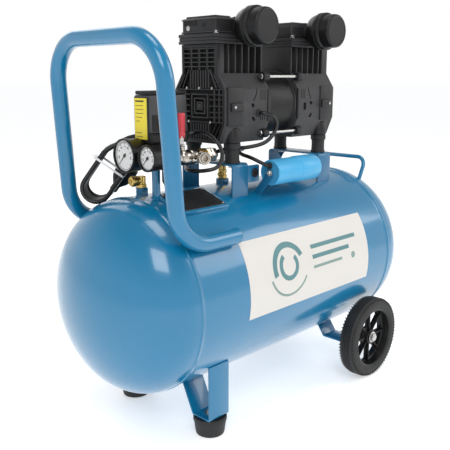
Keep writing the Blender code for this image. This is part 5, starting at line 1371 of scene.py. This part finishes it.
def data_plate():
    """Blank rating plate on its welded frame, tangent to the receiver."""
    angle = math.asin(0.0495 / TANK_R)
    centre = Vector((-0.168, -0.0495, TANK_Z + TANK_R * math.cos(angle)))
    across = Vector((0, -math.cos(angle), -math.sin(angle)))
    out = Vector((0, -math.sin(angle), math.cos(angle)))

    def put(bm):
        turn = Matrix(((1, 0, 0), (0, -across.y, out.y), (0, -across.z, out.z))).to_4x4()
        bm.transform(Matrix.Translation(centre) @ turn)
        return bm

    tray = [put(box((-0.050, -0.0335, -0.004), (0.050, 0.0335, 0.0026), 0.0012, 2))]
    piece("plate_frame", tray, BLUE)
    plate = [put(box((-0.045, -0.0290, 0.0020), (0.045, 0.0290, 0.0036), 0.0006, 1))]
    for i in range(7):
        y = -0.0245 + i * 0.0078
        plate.append(put(box((-0.040, y, 0.0034), (0.030 + 0.004 * (i % 2), y + 0.001, 0.0040))))
    piece("rating_plate", plate, PLASTIC)
    dome = [(0, 0), (0.0020, 0), (0.0016, 0.0009), (0, 0.0012)]
    rivets = [put(turned(dome, (x, y, 0.0035), Z, 20)) for x in (-0.0415, 0.0415) for y in (-0.0255, 0.0255)]
    piece("plate_rivets", rivets, STEEL)


def drain():
    """The drain screw below the receiver."""
    low, high = span("drain_screw")
    top = high.z
    shapes = [cylinder((0, 0, top), (0, 0, top - 0.012), 0.0060, 32, 0.0004),
              box((-0.0125, -0.0014, low.z + 0.0002), (0.0125, 0.0014, top - 0.009), 0.0012, 2)]
    piece("drain_tap", shapes, BRASS, "drain_screw", ("drain_screw",))


# ------------------------------------------------------------------ studio
def sky():
    """Soft studio light: bright near the horizon, dimmer overhead."""
    world = bpy.data.worlds.new("studio")
    world.use_nodes = True
    bpy.context.scene.world = world
    tree = world.node_tree
    place = tree.nodes.new("ShaderNodeTexCoord")
    split = tree.nodes.new("ShaderNodeSeparateXYZ")
    ramp = tree.nodes.new("ShaderNodeValToRGB")
    low, high = ramp.color_ramp.elements[:2]
    low.position, high.position = 0.0, 0.75
    low.color, high.color = (1.0, 1.0, 1.0, 1), (0.36, 0.37, 0.38, 1)
    ramp.color_ramp.elements.new(0.16).color = (1.0, 1.0, 1.0, 1)
    tree.links.new(place.outputs["Generated"], split.inputs["Vector"])
    tree.links.new(split.outputs["Z"], ramp.inputs["Fac"])
    tree.links.new(ramp.outputs["Color"], tree.nodes["Background"].inputs["Color"])
    tree.nodes["Background"].inputs["Strength"].default_value = 1.0


def softbox(name, place, size, power):
    """A square area light aimed at a point above the floor, below the pump."""
    data = bpy.data.lights.new(name, "AREA")
    data.shape, data.size, data.energy = "SQUARE", size, power
    light = bpy.data.objects.new(name, data)
    light.location = place
    light.rotation_mode = "QUATERNION"
    light.rotation_quaternion = (Z * 0.3 - Vector(place)).to_track_quat("-Z", "Y")
    bpy.context.collection.objects.link(light)


def studio():
    """A white floor and four soft lights."""
    sky()
    bpy.ops.mesh.primitive_circle_add(vertices=96, radius=60, fill_type="NGON", location=(0, 0, -0.0005))
    floor = bpy.context.object
    floor.name = "floor"
    mat, shader = new_material("floor")
    settle(shader, Base_Color=(0.98, 0.98, 0.98, 1), Roughness=0.9, Emission_Color=(1, 1, 1, 1),
           Emission_Strength=0.46)
    floor.data.materials.append(mat)
    softbox("key", (-1.5, -1.7, 2.4), 1.3, 27.0)
    softbox("side", (1.9, -1.6, 1.6), 1.2, 12.0)
    softbox("back", (0.6, 2.2, 2.2), 1.8, 14.0)
    softbox("top", (0.0, -0.2, 2.6), 1.0, 12.0)
    bpy.context.scene.view_settings.view_transform = "Standard"


camera()
mains_cord()
receiver()
tank_label()
handle()
rear_grip()
legs()
for side, name in ((-1, "left"), (1, "right")):
    wheel(side, name)
supports()
for end, name in ((-1, "front"), (1, "rear")):
    crankcase(end, name)
    cylinder_head(end, name)
motor()
delivery_pipe()
capacitor()
cables()
pressure_switch()
gauges()
manifold()
outlet()
safety_valve()
data_plate()
drain()
studio()
